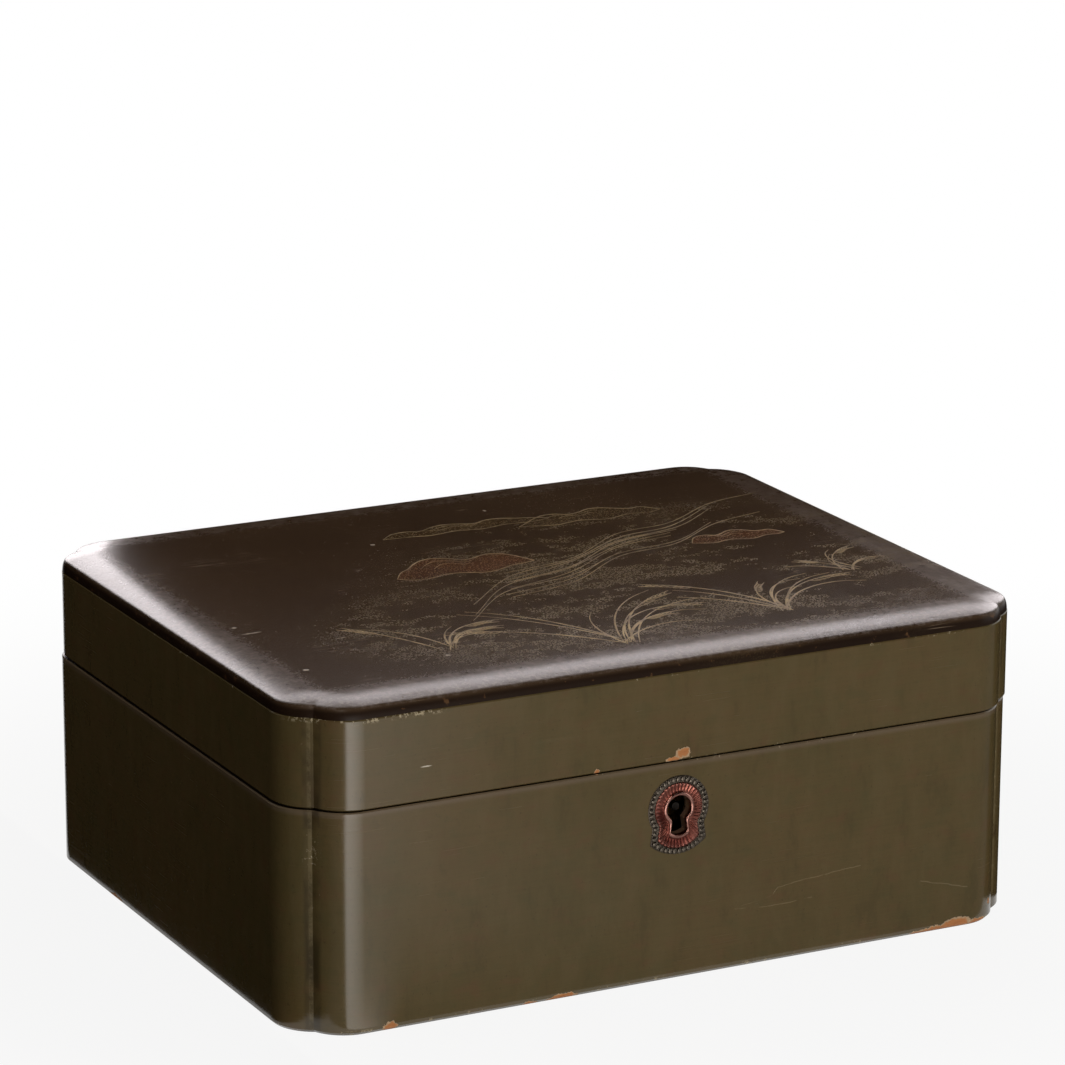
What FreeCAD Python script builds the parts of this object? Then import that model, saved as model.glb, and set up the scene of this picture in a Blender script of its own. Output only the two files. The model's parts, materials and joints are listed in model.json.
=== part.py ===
import FreeCAD, Part
import math
import os

# A lidded lacquer box for ink stone and brushes. Millimetres, +Z up, front face towards -Y,
# origin on the table under the middle of the box.

V = FreeCAD.Vector
ORIGIN = V(0, 0, 0)
UP = V(0, 0, 1)
LEFT_RIGHT = V(1, 0, 0)

# Outline of the box and the lid, seen from above
box_width = 250.0
box_depth = 200.0
corner_radius = 14.5
notch_depth = 8.0

# Heights
rim_height = 69.0
seam_gap = 0.4
lid_side_height = 27.6
edge_height = 3.4
shoulder_rise = 1.9
crown_rise = 1.0

# Roundings of the wood
foot_bevel = 1.0
seam_bevel = 0.4
edge_inset = 1.2
edge_start = 0.15
edge_roll = 75.0
shoulder_width = 12.0
crown_width = 60.0
crown_steps = 3
edge_steps = 3
shoulder_steps = 4
corner_steps = 5

# Thickness of the wood
wall = 10.0
lid_wall = 9.0
bottom_thickness = 6.0
rebate = 3.5
lining_thickness = 3.0
lip_height = 4.0
cloth_thickness = 1.0
cloth_gap = 0.5
post_width = 12.0
post_round = 8.0
block_leg = 7.0
block_gap = 1.0
lid_shift = 0.6

# Hinges at the back
lid_opening = 105.0
stop_gap_angle = 2.5
hinge_inset = 2.5
hinge_from_end = 40.0
hinge_length = 30.0
knuckle_radius = 2.1
knuckle_count = 3
knuckle_gap = 0.3
hinge_pin_radius = 0.9
pin_fit = 0.05
leaf_thickness = 1.1
leaf_width = 7.2
hinge_screw_pitch = 10.0

# Screws
screw_head_radius = 1.6
screw_shank_radius = 0.8
screw_head_height = 0.8
screw_length = 5.5
screw_sides = 10

# Lock, let into the front board from inside
lock_width = 50.0
lock_height = 32.0
cap_width = 41.0
cap_height = 27.0
lock_plate_thickness = 1.2
cap_thickness = 0.8
works_depth = 5.0
fit_gap = 0.15
key_drop = 14.6
drill_pin_radius = 1.25
drill_pin_recess = 1.8
key_shank_radius = 3.2
key_bit_width = 5.0
talon_depth = 2.6
bolt_thickness = 2.0
bolt_bar_height = 4.0
bolt_travel = 4.5
bolt_tail = 12.0
hook_stem = 3.0
finger_length = 5.0
finger_height = 2.4
eye_half_spacing = 9.5
link_thickness = 1.6
link_width = 4.4
link_web = 0.8
lock_play = 0.4
slot_play = 0.5
strike_thickness = 1.2
strike_end = 10.0
spring_thickness = 0.4
spring_gap = 0.15
spring_start = 7.5
spring_drop = 5.0

# Keyhole and escutcheon, measured from the middle of the drill pin
hole_radius = 4.05
hole_waist = 2.2
hole_foot = 2.9
hole_foot_drop = 7.2
hole_bottom = 8.2
ring_radius = 8.1
ring_waist = 6.4
ring_foot = 7.2
ring_foot_drop = 9.4
ring_bottom = 12.6
rim_radius = 10.35
rim_waist = 8.8
rim_foot = 9.6
rim_foot_drop = 10.6
rim_bottom = 14.4
lip_width = 0.8
escutcheon_recess = 0.6
escutcheon_thickness = 1.6
ring_dish = 0.6

# Lift-out tray
tray_base = 40.0
tray_height = 26.0
tray_floor_thickness = 3.0
tray_wall = 4.0
tray_divider = 3.0
tray_gap = 0.6
tray_middle_bay = 84.0
tray_lift_room = 2.0

# Writing tools
stone_width = 72.0
stone_height = 15.0
stone_border = 6.0
stone_land_depth = 1.5
stone_pool_depth = 8.0
stone_pool_length = 30.0
stone_slope_length = 14.0
stone_corner = 6.0
stone_gap = 4.0
dropper_gap = 5.0
dropper_radius = 21.0
dropper_sides = 8
dropper_height = 15.0
dropper_bevel = 2.5
dropper_sunk = 1.5
spout_sides = 12
spout_radius = 2.6
spout_flare = 1.2
spout_rise = 3.0
spout_offset = 11.5
water_hole_radius = 1.1
water_hole_depth = 6.0
ink_width = 20.0
ink_length = 84.0
ink_height = 9.0
ink_round = 2.0
rest_thickness = 5.0
rest_height = 9.0
rest_fit = 0.1
rest_setback = 24.0
ferrule_gap = 3.0
brush_radius = 4.0
brush_length = 112.0
brush_ferrule_radius = 4.6
brush_ferrule_length = 9.0
hair_length = 27.0
hair_belly = 4.2
hair_belly_share = 0.35
hair_neck = 2.6
hair_neck_share = 0.72
hair_tip = 0.3
hair_sides = 16
brush_spacing = 24.0

# Places worked out from the sizes above
half_width = box_width / 2
half_depth = box_depth / 2
corner_reach = notch_depth + math.sqrt(2 * corner_radius * notch_depth - notch_depth ** 2)
lid_base = rim_height + seam_gap
lid_side_top = lid_base + lid_side_height
shoulder_top = lid_side_top + edge_height + shoulder_rise
axis_y = half_depth - hinge_inset
axis_z = rim_height + seam_gap / 2
inner_front = -half_depth + wall
lock_front = inner_front - lock_plate_thickness - works_depth - cap_thickness
works_middle = inner_front - lock_plate_thickness - works_depth / 2
key_z = rim_height - key_drop
bar_bottom = key_z + key_shank_radius + lock_play
bar_top = bar_bottom + bolt_bar_height
link_bottom = bar_top + lock_play
eye_bottom = link_bottom + link_web
finger_bottom = eye_bottom + lock_play
finger_top = finger_bottom + finger_height
eye_top = finger_top + lock_play
lining_inset = wall + lining_thickness
tray_half_width = half_width - lining_inset - tray_gap
tray_half_depth = half_depth - lining_inset - tray_gap
tray_floor_top = tray_base + tray_floor_thickness
tray_top = tray_base + tray_height
bay_half = tray_middle_bay / 2
side_bay_middle = (bay_half + tray_divider + tray_half_width - tray_wall) / 2
hinge_spacing = box_width - 2 * hinge_from_end - hinge_length
tray_travel = lid_side_top - cloth_thickness - tray_top - tray_lift_room

nodes = {}


def block(x, y, z):
    """A box between two values along each axis."""
    size = [abs(pair[1] - pair[0]) for pair in (x, y, z)]
    return Part.makeBox(*size, V(min(x), min(y), min(z)))


def prism(wire, rise):
    """The solid that a flat wire sweeps along a vector."""
    return Part.Face(wire).extrude(rise)


def solid_of(faces):
    """The solid that a closed set of faces bounds."""
    shell = Part.makeShell(faces)
    shell.sewShape()
    return Part.makeSolid(Part.makeShell(shell.Faces))


def ring_of(points):
    """A closed wire of straight edges."""
    return Part.makePolygon(list(points) + [points[0]])


def turned(shape, angle):
    """A copy turned about the vertical through the origin."""
    copy = shape.copy()
    copy.rotate(ORIGIN, UP, angle)
    return copy


def moved(shape, x=0.0, y=0.0, z=0.0):
    """A copy moved to a new place."""
    copy = shape.copy()
    copy.translate(V(x, y, z))
    return copy


def joined(shapes):
    """One solid from several that touch or overlap."""
    first, rest = shapes[0], shapes[1:]
    return first.fuse(rest).removeSplitter() if rest else first


def face_arc(inset):
    """Start, middle and end of a face's corner arc, as distances from the side and the face."""
    across = corner_reach - notch_depth
    along = corner_radius - notch_depth
    out = V(-across, -along, 0) / corner_radius
    half_way = (V(0, -1, 0) + out).normalize()
    centre = V(corner_reach, corner_radius, 0)
    reach = corner_radius - inset
    end = V(notch_depth, notch_depth, 0) - out * inset
    return centre + V(0, -1, 0) * reach, centre + half_way * reach, end


def outline_ring(inset, z):
    """Points round the notched outline, drawn in by an inset, at a height."""
    angle = math.acos((corner_radius - notch_depth) / corner_radius)
    reach = corner_radius - inset
    path = []
    for step in range(corner_steps + 1):
        turn = angle * step / corner_steps
        path.append((corner_reach - reach * math.sin(turn), corner_radius - reach * math.cos(turn)))
    diagonal = notch_depth + inset / math.sqrt(2)
    path.append((diagonal, diagonal))
    path += [(v, u) for u, v in reversed(path[:-1])]
    ring = []
    for side, face, flip in ((1, -1, False), (1, 1, True), (-1, 1, False), (-1, -1, True)):
        points = reversed(path) if flip else path
        ring += [V(side * (half_width - u), face * (half_depth - v), z) for u, v in points]
    return ring


def cut_corner_ring(inset, z):
    """Eight points round the top, drawn in by an inset, with its corners cut at 45 degrees."""
    x = half_width - inset
    y = half_depth - inset
    cut = corner_reach
    corners = [(cut - x, -y), (x - cut, -y), (x, cut - y), (x, y - cut),
               (x - cut, y), (cut - x, y), (-x, y - cut), (-x, cut - y)]
    return [V(px, py, z) for px, py in corners]


def outer_edges(board, level, half_span):
    """The edges of a front-facing board's show face at a height."""
    found = []
    for edge in board.Edges:
        box = edge.BoundBox
        middle = edge.valueAt((edge.FirstParameter + edge.LastParameter) / 2)
        level_edge = abs(box.ZMin - level) < 1e-6 and abs(box.ZMax - level) < 1e-6
        if level_edge and middle.y < notch_depth - half_span - 1e-3:
            found.append(edge)
    return found


def notched_board(length, half_span, thickness, base, top):
    """One front-facing board: rounded ends down to the notch lines, mitred behind them."""
    start, middle, end = face_arc(0)
    half = length / 2

    def at(p, side):
        return V(side * (half - p.x), p.y - half_span, base)

    inner = V(thickness, thickness, 0)
    edges = [
        Part.Arc(at(end, -1), at(middle, -1), at(start, -1)).toShape(),
        Part.makeLine(at(start, -1), at(start, 1)),
        Part.Arc(at(start, 1), at(middle, 1), at(end, 1)).toShape(),
        Part.makeLine(at(end, 1), at(inner, 1)),
        Part.makeLine(at(inner, 1), at(inner, -1)),
        Part.makeLine(at(inner, -1), at(end, -1)),
    ]
    return prism(Part.Wire(edges), V(0, 0, top - base))


def mitred_strip(length, half_span, thickness, base, top):
    """A straight front-facing strip with ends cut at 45 degrees, its back against half_span."""
    half = length / 2
    points = [
        V(-half, -half_span, base),
        V(half, -half_span, base),
        V(half - thickness, thickness - half_span, base),
        V(thickness - half, thickness - half_span, base),
    ]
    return prism(ring_of(points), V(0, 0, top - base))


SIDES = {"front": 0, "right": 90, "back": 180, "left": 270}


def span_of(side):
    """Length of a side and its distance from the middle of the box."""
    if side in ("front", "back"):
        return box_width, half_depth
    return box_depth, half_width


def corner_shape(points, base, top):
    """Four like solids, from points given as distances from the side and the face."""
    solids = []
    for side in (-1, 1):
        for face in (-1, 1):
            places = [V(side * (half_width - u), face * (half_depth - v), base) for u, v in points]
            solids.append(prism(ring_of(places), V(0, 0, top - base)))
    return solids


def clipped_sheet(inset, clip, base, top):
    """A flat sheet inside the walls with square bites out of its corners."""
    x = half_width - inset
    y = half_depth - inset
    points = [
        V(clip - x, -y, base), V(x - clip, -y, base), V(x - clip, clip - y, base),
        V(x, clip - y, base), V(x, y - clip, base), V(x - clip, y - clip, base),
        V(x - clip, y, base), V(clip - x, y, base), V(clip - x, y - clip, base),
        V(-x, y - clip, base), V(-x, clip - y, base), V(clip - x, clip - y, base),
    ]
    return prism(ring_of(points), V(0, 0, top - base))


def faceted(rings):
    """A solid of flat faces between closed rings of points, capped at both ends."""
    faces = [Part.Face(ring_of(rings[0])), Part.Face(ring_of(rings[-1]))]
    for low, high in zip(rings, rings[1:]):
        for number in range(len(low)):
            after = (number + 1) % len(low)
            faces.append(Part.Face(ring_of([low[number], low[after], high[after], high[number]])))
    return solid_of(faces)


def even_ring(radius, point, way, sides):
    """Points of a regular ring round a point, square to way."""
    turn = FreeCAD.Rotation(UP, way)
    angles = [2 * math.pi * (number + 0.5) / sides for number in range(sides)]
    return [point + turn.multVec(V(math.cos(a), math.sin(a), 0) * radius) for a in angles]


def many_sided(radius, height, point, way, sides):
    """A prism of equal sides round a point, standing along way."""
    return prism(ring_of(even_ring(radius, point, way, sides)), way * height)


def screw(point, way):
    """A screw whose head is let in flush at point and whose shank runs along way."""
    head = many_sided(screw_head_radius, screw_head_height, point, way, screw_sides)
    shank = many_sided(screw_shank_radius, screw_length, point, way, screw_sides)
    return joined([head, shank])


def keyhole_wire(radius, waist, foot, foot_drop, bottom, y):
    """A round head over a waist that flares to a foot with a bowed lower edge."""
    waist_drop = math.sqrt(radius ** 2 - waist ** 2)

    def at(x, drop):
        return V(x, y, key_z - drop)

    edges = [
        Part.Arc(at(-waist, waist_drop), at(0, -radius), at(waist, waist_drop)).toShape(),
        Part.makeLine(at(waist, waist_drop), at(foot, foot_drop)),
        Part.Arc(at(foot, foot_drop), at(0, bottom), at(-foot, foot_drop)).toShape(),
        Part.makeLine(at(-foot, foot_drop), at(-waist, waist_drop)),
    ]
    return Part.Wire(edges)


def hole_prism(grow, front, back):
    """The keyhole's solid between two depths."""
    wire = keyhole_wire(
        hole_radius + grow, hole_waist + grow, hole_foot + grow,
        hole_foot_drop, hole_bottom + grow, front)
    return prism(wire, V(0, back - front, 0))


def ring_prism(grow, front, back):
    """The solid of the inner ring's outline between two depths."""
    wire = keyhole_wire(
        ring_radius + grow, ring_waist + grow, ring_foot + grow,
        ring_foot_drop, ring_bottom + grow, front)
    return prism(wire, V(0, back - front, 0))


def rim_prism(front, back):
    """The solid of the whole escutcheon's outline between two depths."""
    wire = keyhole_wire(rim_radius, rim_waist, rim_foot, rim_foot_drop, rim_bottom, front)
    return prism(wire, V(0, back - front, 0))


# Boards of the box and rails of the lid
boards = {}
rails = {}
for side, angle in SIDES.items():
    length, half_span = span_of(side)
    board = notched_board(length, half_span, wall, 0, rim_height)
    board = board.makeChamfer(foot_bevel, outer_edges(board, 0, half_span))
    board = board.makeChamfer(seam_bevel, outer_edges(board, rim_height, half_span))
    boards[side] = turned(board, angle)
    rail = notched_board(length, half_span, lid_wall, lid_base, lid_side_top)
    for level in (lid_base, lid_side_top):
        rail = rail.makeChamfer(seam_bevel, outer_edges(rail, level, half_span))
    rails[side] = moved(turned(rail, angle), x=lid_shift)

bottom = clipped_sheet(wall - rebate, rebate, 0, bottom_thickness)
for side in SIDES:
    boards[side] = boards[side].cut(bottom)
nodes["bottom_board"] = bottom

# The back edges are bevelled away from the hinge line, and the bevels meet when the lid is open
bevel = math.radians(lid_opening / 2 + stop_gap_angle)
bevel_drop = 2 * hinge_inset * math.tan(bevel)
for part, way in ((boards, -1), (rails, 1)):
    points = [
        V(-half_width, axis_y, axis_z),
        V(-half_width, axis_y + 2 * hinge_inset, axis_z),
        V(-half_width, axis_y + 2 * hinge_inset, axis_z + way * bevel_drop),
    ]
    wedge = prism(ring_of(points), V(box_width + lid_shift, 0, 0))
    part["back"] = part["back"].cut(wedge)

# Lining boards, standing a lip above the rim
lining = {}
lining_base = bottom_thickness
for side, angle in SIDES.items():
    length, half_span = span_of(side)
    strip = mitred_strip(
        length - 2 * wall, half_span - wall, lining_thickness, lining_base, rim_height + lip_height)
    lining[side] = turned(strip, angle)

# Corner posts that carry the tray, and glue blocks in the lid
near = lining_inset
far = lining_inset + post_width
post_points = [(near, near), (far, near), (far, far - post_round), (far - post_round, far),
               (near, far)]
post_names = ("post_front_left", "post_back_left", "post_front_right", "post_back_right")
for name, solid in zip(post_names, corner_shape(post_points, lining_base, tray_base)):
    nodes[name] = solid

leg_end = lid_wall + block_leg
block_points = [(lid_wall, lid_wall), (leg_end, lid_wall), (lid_wall, leg_end)]
block_base = rim_height + lip_height + block_gap
glue_blocks = corner_shape(block_points, block_base, lid_side_top)
nodes["lid_glue_blocks"] = Part.makeCompound([moved(b, x=lid_shift) for b in glue_blocks])

# Floor cloth between the posts, and the lid's lining between its glue blocks
floor_cloth = clipped_sheet(
    lining_inset + cloth_gap, post_width, lining_base, lining_base + cloth_thickness)
nodes["floor_cloth"] = floor_cloth
lid_cloth = clipped_sheet(
    lid_wall + cloth_gap, block_leg, lid_side_top - cloth_thickness, lid_side_top)
nodes["lid_lining"] = moved(lid_cloth, x=lid_shift)

# Domed lid top: a rolled edge, a soft shoulder and a faint crown
roll_end = math.radians(edge_roll)
profile = []
for step in range(edge_steps + 1):
    turn = roll_end * step / edge_steps
    inset = edge_start + (edge_inset - edge_start) * (1 - math.cos(turn)) / (1 - math.cos(roll_end))
    profile.append((inset, edge_height * math.sin(turn) / math.sin(roll_end)))
for step in range(1, shoulder_steps + 1):
    share = step / shoulder_steps
    inset = edge_inset + (shoulder_width - edge_inset) * share
    profile.append((inset, edge_height + shoulder_rise * (1 - (1 - share) ** 2)))
crown_rings = []
for step in range(crown_steps + 1):
    share = step / crown_steps
    inset = shoulder_width + crown_width * share
    rise = crown_rise * (1 - (1 - share) ** 2)
    crown_rings.append(cut_corner_ring(inset, shoulder_top + rise))
edge_rings = [outline_ring(inset, lid_side_top + rise) for inset, rise in profile]
lid_top = joined([faceted(edge_rings), faceted(crown_rings)])
nodes["lid_top"] = moved(lid_top, x=lid_shift)

# Hinges
hinge_front = axis_y - leaf_width
pitch = hinge_length / knuckle_count


def knuckle(index, radius, play):
    """One barrel section of a hinge that is centred on x = 0."""
    start = -hinge_length / 2 + index * pitch + play / 2
    return Part.makeCylinder(radius, pitch - play, V(start, axis_y, axis_z), LEFT_RIGHT)


def leaf(low, own):
    """A hinge leaf that lies on low, with its own knuckles and room for the others."""
    half = hinge_length / 2
    plate = block((-half, half), (hinge_front, axis_y), (low, low + leaf_thickness))
    for index in range(knuckle_count):
        if index not in own:
            plate = plate.cut(knuckle(index, knuckle_radius + knuckle_gap, -knuckle_gap))
    shape = joined([plate] + [knuckle(index, knuckle_radius, knuckle_gap) for index in own])
    bore = Part.makeCylinder(
        hinge_pin_radius + pin_fit, hinge_length, V(-half, axis_y, axis_z), LEFT_RIGHT)
    return shape.cut(bore)


box_leaf = leaf(rim_height - leaf_thickness, range(0, knuckle_count, 2))
lid_leaf = leaf(lid_base, range(1, knuckle_count, 2))
pin = Part.makeCylinder(
    hinge_pin_radius, hinge_length, V(-hinge_length / 2, axis_y, axis_z), LEFT_RIGHT)
barrel_room = Part.makeCylinder(
    knuckle_radius + knuckle_gap, hinge_length + 2 * knuckle_gap,
    V(-hinge_length / 2 - knuckle_gap, axis_y, axis_z), LEFT_RIGHT)
screw_y = (hinge_front + axis_y - knuckle_radius) / 2
half_leaf = hinge_length / 2
box_screws = []
lid_screws = []
for name, x in (("left", -hinge_spacing / 2), ("right", hinge_spacing / 2)):
    places = [x - hinge_screw_pitch, x, x + hinge_screw_pitch]
    down = [screw(V(place, screw_y, rim_height), V(0, 0, -1)) for place in places]
    up = [screw(V(place, screw_y, lid_base), V(0, 0, 1)) for place in places]
    box_screws += down
    lid_screws += up
    nodes[f"hinge_{name}_box_leaf"] = moved(box_leaf, x=x).cut(down)
    nodes[f"hinge_{name}_lid_leaf"] = moved(lid_leaf, x=x).cut(up)
    nodes[f"hinge_{name}_pin"] = moved(pin, x=x)
    seat = ((x - half_leaf, x + half_leaf), (hinge_front, axis_y))
    box_seat = block(*seat, (rim_height - leaf_thickness, rim_height))
    lid_seat = block(*seat, (lid_base, lid_base + leaf_thickness))
    boards["back"] = boards["back"].cut([box_seat, moved(barrel_room, x=x)] + down)
    rails["back"] = rails["back"].cut([lid_seat, moved(barrel_room, x=x)] + up)
nodes["box_hinge_screws"] = Part.makeCompound(box_screws)
nodes["lid_hinge_screws"] = Part.makeCompound(lid_screws)

# Lock plate with its selvedge, and the cap over the works
half_lock = lock_width / 2
half_cap = cap_width / 2
cap_top = rim_height - lock_plate_thickness
works_back = inner_front - lock_plate_thickness
plate = block((-half_lock, half_lock), (works_back, inner_front), (rim_height - lock_height, cap_top))
selvedge = block((-half_lock, half_lock), (lock_front, inner_front), (cap_top, rim_height))
slot_x = link_thickness / 2 + slot_play
slot_y = link_width / 2 + slot_play
slots = [
    block((x - slot_x, x + slot_x), (works_middle - slot_y, works_middle + slot_y),
          (cap_top, rim_height))
    for x in (-eye_half_spacing, eye_half_spacing)
]
plate_screw_x = (half_lock + half_cap) / 2
plate_screws = [
    screw(V(x, inner_front, z), V(0, -1, 0))
    for x in (-plate_screw_x, plate_screw_x)
    for z in (cap_top - 2 * screw_head_radius, rim_height - lock_height + 2 * screw_head_radius)
]
lock_plate = joined([plate, selvedge]).cut(slots + plate_screws)
nodes["lock_plate"] = lock_plate
nodes["lock_screws"] = Part.makeCompound(plate_screws)

cap_base = cap_top - cap_height
cap_outer = block((-half_cap, half_cap), (lock_front, works_back), (cap_base, cap_top))
cap_inner = block(
    (cap_thickness - half_cap, half_cap - cap_thickness),
    (lock_front + cap_thickness, works_back), (cap_base + cap_thickness, cap_top))
lock_cap = cap_outer.cut([cap_inner, hole_prism(0, lock_front, works_back)])
nodes["lock_cap"] = lock_cap
nodes["drill_pin"] = Part.makeCylinder(
    drill_pin_radius, works_back + half_depth - drill_pin_recess,
    V(0, works_back, key_z), V(0, -1, 0))

# Bolt: a bar with a talon for the key, and two hooked fingers that enter the eyes
finger_tip = -link_thickness / 2 - lock_play
bar_start = -eye_half_spacing + finger_tip - finger_length - hook_stem
bolt_y = (works_middle - bolt_thickness / 2, works_middle + bolt_thickness / 2)
bar = block((bar_start, bolt_tail), bolt_y, (bar_bottom, bar_top))
hooks = []
for x in (-eye_half_spacing, eye_half_spacing):
    stem_end = x + finger_tip - finger_length
    hooks.append(block((stem_end - hook_stem, stem_end), bolt_y, (bar_bottom, finger_top)))
    hooks.append(block((stem_end, x + finger_tip), bolt_y, (finger_bottom, finger_top)))
talon_middle = -bolt_travel / 2
talon = block(
    (talon_middle - key_bit_width / 2, talon_middle + key_bit_width / 2), bolt_y,
    (bar_bottom, bar_bottom + talon_depth))
nodes["lock_bolt"] = joined([bar] + hooks).cut(talon)

# Leaf spring under the bolt's tail, sprung against the cap's end wall
spring_end = half_cap - cap_thickness
spring_middle = (spring_start + spring_end) / 2
spring_top = bar_bottom - spring_gap
spring_y = V(0, bolt_thickness, 0)


def spring_arc(drop):
    """The bowed line of the spring, lowered by its thickness for the inner side."""
    return (
        V(spring_start, bolt_y[0], spring_top - spring_drop - drop),
        V(spring_middle, bolt_y[0], spring_top - drop),
        V(spring_end, bolt_y[0], spring_top - spring_drop - drop),
    )


upper = spring_arc(0)
lower = spring_arc(spring_thickness)
spring_wire = Part.Wire([
    Part.Arc(*upper).toShape(),
    Part.makeLine(upper[2], lower[2]),
    Part.Arc(*reversed(lower)).toShape(),
    Part.makeLine(lower[0], upper[0]),
])
nodes["bolt_spring"] = prism(spring_wire, spring_y)

# Link plate in the lid, with an eye for each finger
strike_half = eye_half_spacing + strike_end
strike_back = -half_depth + lid_wall
strike_front = works_middle - link_width / 2
strike = block((-strike_half, strike_half), (strike_front, strike_back),
               (lid_base, lid_base + strike_thickness))
links = []
eyes = []
for x in (-eye_half_spacing, eye_half_spacing):
    across = (x - link_thickness / 2, x + link_thickness / 2)
    half_link = link_width / 2
    half_eye = bolt_thickness / 2 + lock_play
    links.append(block(across, (works_middle - half_link, works_middle + half_link),
                       (link_bottom, lid_base + strike_thickness)))
    eyes.append(block(across, (works_middle - half_eye, works_middle + half_eye),
                      (eye_bottom, eye_top)))
strike_screw_x = eye_half_spacing + strike_end / 2
strike_screws = [
    screw(V(x, works_middle, lid_base), V(0, 0, 1)) for x in (-strike_screw_x, strike_screw_x)
]
nodes["link_plate"] = joined([strike] + links).cut(eyes + strike_screws)
nodes["link_screws"] = Part.makeCompound(strike_screws)
rails["front"] = rails["front"].cut([strike] + strike_screws)

# Front board: the lock's mortise, the keyhole and the escutcheon's seat
mortise = block(
    (-half_cap - fit_gap, half_cap + fit_gap), (lock_front - fit_gap, inner_front),
    (cap_base - fit_gap, rim_height))
key_passage = hole_prism(0, -half_depth, lock_front)
escutcheon_back = -half_depth + escutcheon_recess
escutcheon_front = escutcheon_back - escutcheon_thickness
escutcheon_seat = rim_prism(-half_depth, escutcheon_back)
boards["front"] = boards["front"].cut(
    [mortise, plate, selvedge, key_passage, escutcheon_seat] + plate_screws)

window = block((-half_lock, half_lock), (inner_front, inner_front + lining_thickness),
               (rim_height - lock_height, rim_height + lip_height))
lining["front"] = lining["front"].cut(window)

# Escutcheon: an outer rim and an inner ring that is dished round a raised lip
rim_plate = rim_prism(escutcheon_front, escutcheon_back)
nodes["escutcheon_rim"] = rim_plate.cut(ring_prism(0, escutcheon_front, escutcheon_back))
ring_front = escutcheon_front + ring_dish
ring = ring_prism(0, ring_front, escutcheon_back)
lip = hole_prism(lip_width, escutcheon_front, ring_front)
hole = hole_prism(0, escutcheon_front, escutcheon_back)
nodes["escutcheon_ring"] = joined([ring, lip]).cut(hole)

for side in SIDES:
    nodes[f"{side}_board"] = boards[side]
    nodes[f"lid_{side}_rail"] = rails[side]
    nodes[f"lining_{side}"] = lining[side]

# Tray
tray_x = (-tray_half_width, tray_half_width)
tray_y = (-tray_half_depth, tray_half_depth)
wall_z = (tray_floor_top, tray_top)
inner_y = (tray_wall - tray_half_depth, tray_half_depth - tray_wall)
nodes["tray_floor"] = block(tray_x, tray_y, (tray_base, tray_floor_top))
nodes["tray_front_wall"] = block(tray_x, (tray_y[0], inner_y[0]), wall_z)
nodes["tray_back_wall"] = block(tray_x, (inner_y[1], tray_y[1]), wall_z)
for name, way in (("left", -1), ("right", 1)):
    outer = way * tray_half_width
    nodes[f"tray_{name}_wall"] = block((outer, outer - way * tray_wall), inner_y, wall_z)
    inner = way * bay_half
    nodes[f"tray_{name}_divider"] = block((inner, inner + way * tray_divider), inner_y, wall_z)

# Ink stone: a shallow grinding land that slopes into a pool at the back
dropper_half = dropper_radius * math.cos(math.pi / dropper_sides)
stone_front = inner_y[0] + stone_gap
stone_back = inner_y[1] - 2 * (dropper_half + dropper_gap)
stone_top = tray_floor_top + stone_height
stone_x = (-stone_width / 2, stone_width / 2)
stone = block(stone_x, (stone_front, stone_back), (tray_floor_top, stone_top))
upright = [edge for edge in stone.Edges if edge.BoundBox.ZLength > stone_height / 2]
stone = stone.makeFillet(stone_corner, upright)
well_front = stone_front + stone_border
well_back = stone_back - stone_border
pool_front = well_back - stone_pool_length
well_x = stone_width / 2 - stone_border
profile = [
    V(-well_x, well_front, stone_top),
    V(-well_x, well_back, stone_top),
    V(-well_x, well_back, stone_top - stone_pool_depth),
    V(-well_x, pool_front, stone_top - stone_pool_depth),
    V(-well_x, pool_front - stone_slope_length, stone_top - stone_land_depth),
    V(-well_x, well_front, stone_top - stone_land_depth),
]
well = prism(ring_of(profile), V(2 * well_x, 0, 0))
nodes["ink_stone"] = stone.cut(well)

# Water dropper behind the ink stone
dropper_middle = inner_y[1] - dropper_gap - dropper_half
dropper_top = V(0, dropper_middle, tray_floor_top + dropper_height)
dropper = many_sided(
    dropper_radius, dropper_height, V(0, dropper_middle, tray_floor_top), UP, dropper_sides)
dropper = dropper.makeChamfer(
    dropper_bevel, [edge for edge in dropper.Edges if edge.BoundBox.ZMin > dropper_top.z - 1e-6])
spout_base = dropper_top + V(0, -spout_offset, -dropper_sunk)
spout_length = spout_rise + dropper_sunk
spout_mouth = spout_base + UP * spout_length
spout = faceted([
    even_ring(spout_radius + spout_flare, spout_base, UP, spout_sides),
    even_ring(spout_radius, spout_mouth, UP, spout_sides),
])
water_holes = [
    many_sided(water_hole_radius, water_hole_depth, mouth, V(0, 0, -1), spout_sides)
    for mouth in (spout_mouth, dropper_top)
]
nodes["water_dropper"] = joined([dropper, spout]).cut(water_holes)

# Ink stick in the left bay
ink_middle = -side_bay_middle
ink = block(
    (ink_middle - ink_width / 2, ink_middle + ink_width / 2), (-ink_length / 2, ink_length / 2),
    (tray_floor_top, tray_floor_top + ink_height))
long_edges = [edge for edge in ink.Edges if edge.BoundBox.YLength > ink_length / 2]
nodes["ink_stick"] = ink.makeFillet(ink_round, long_edges)

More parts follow.
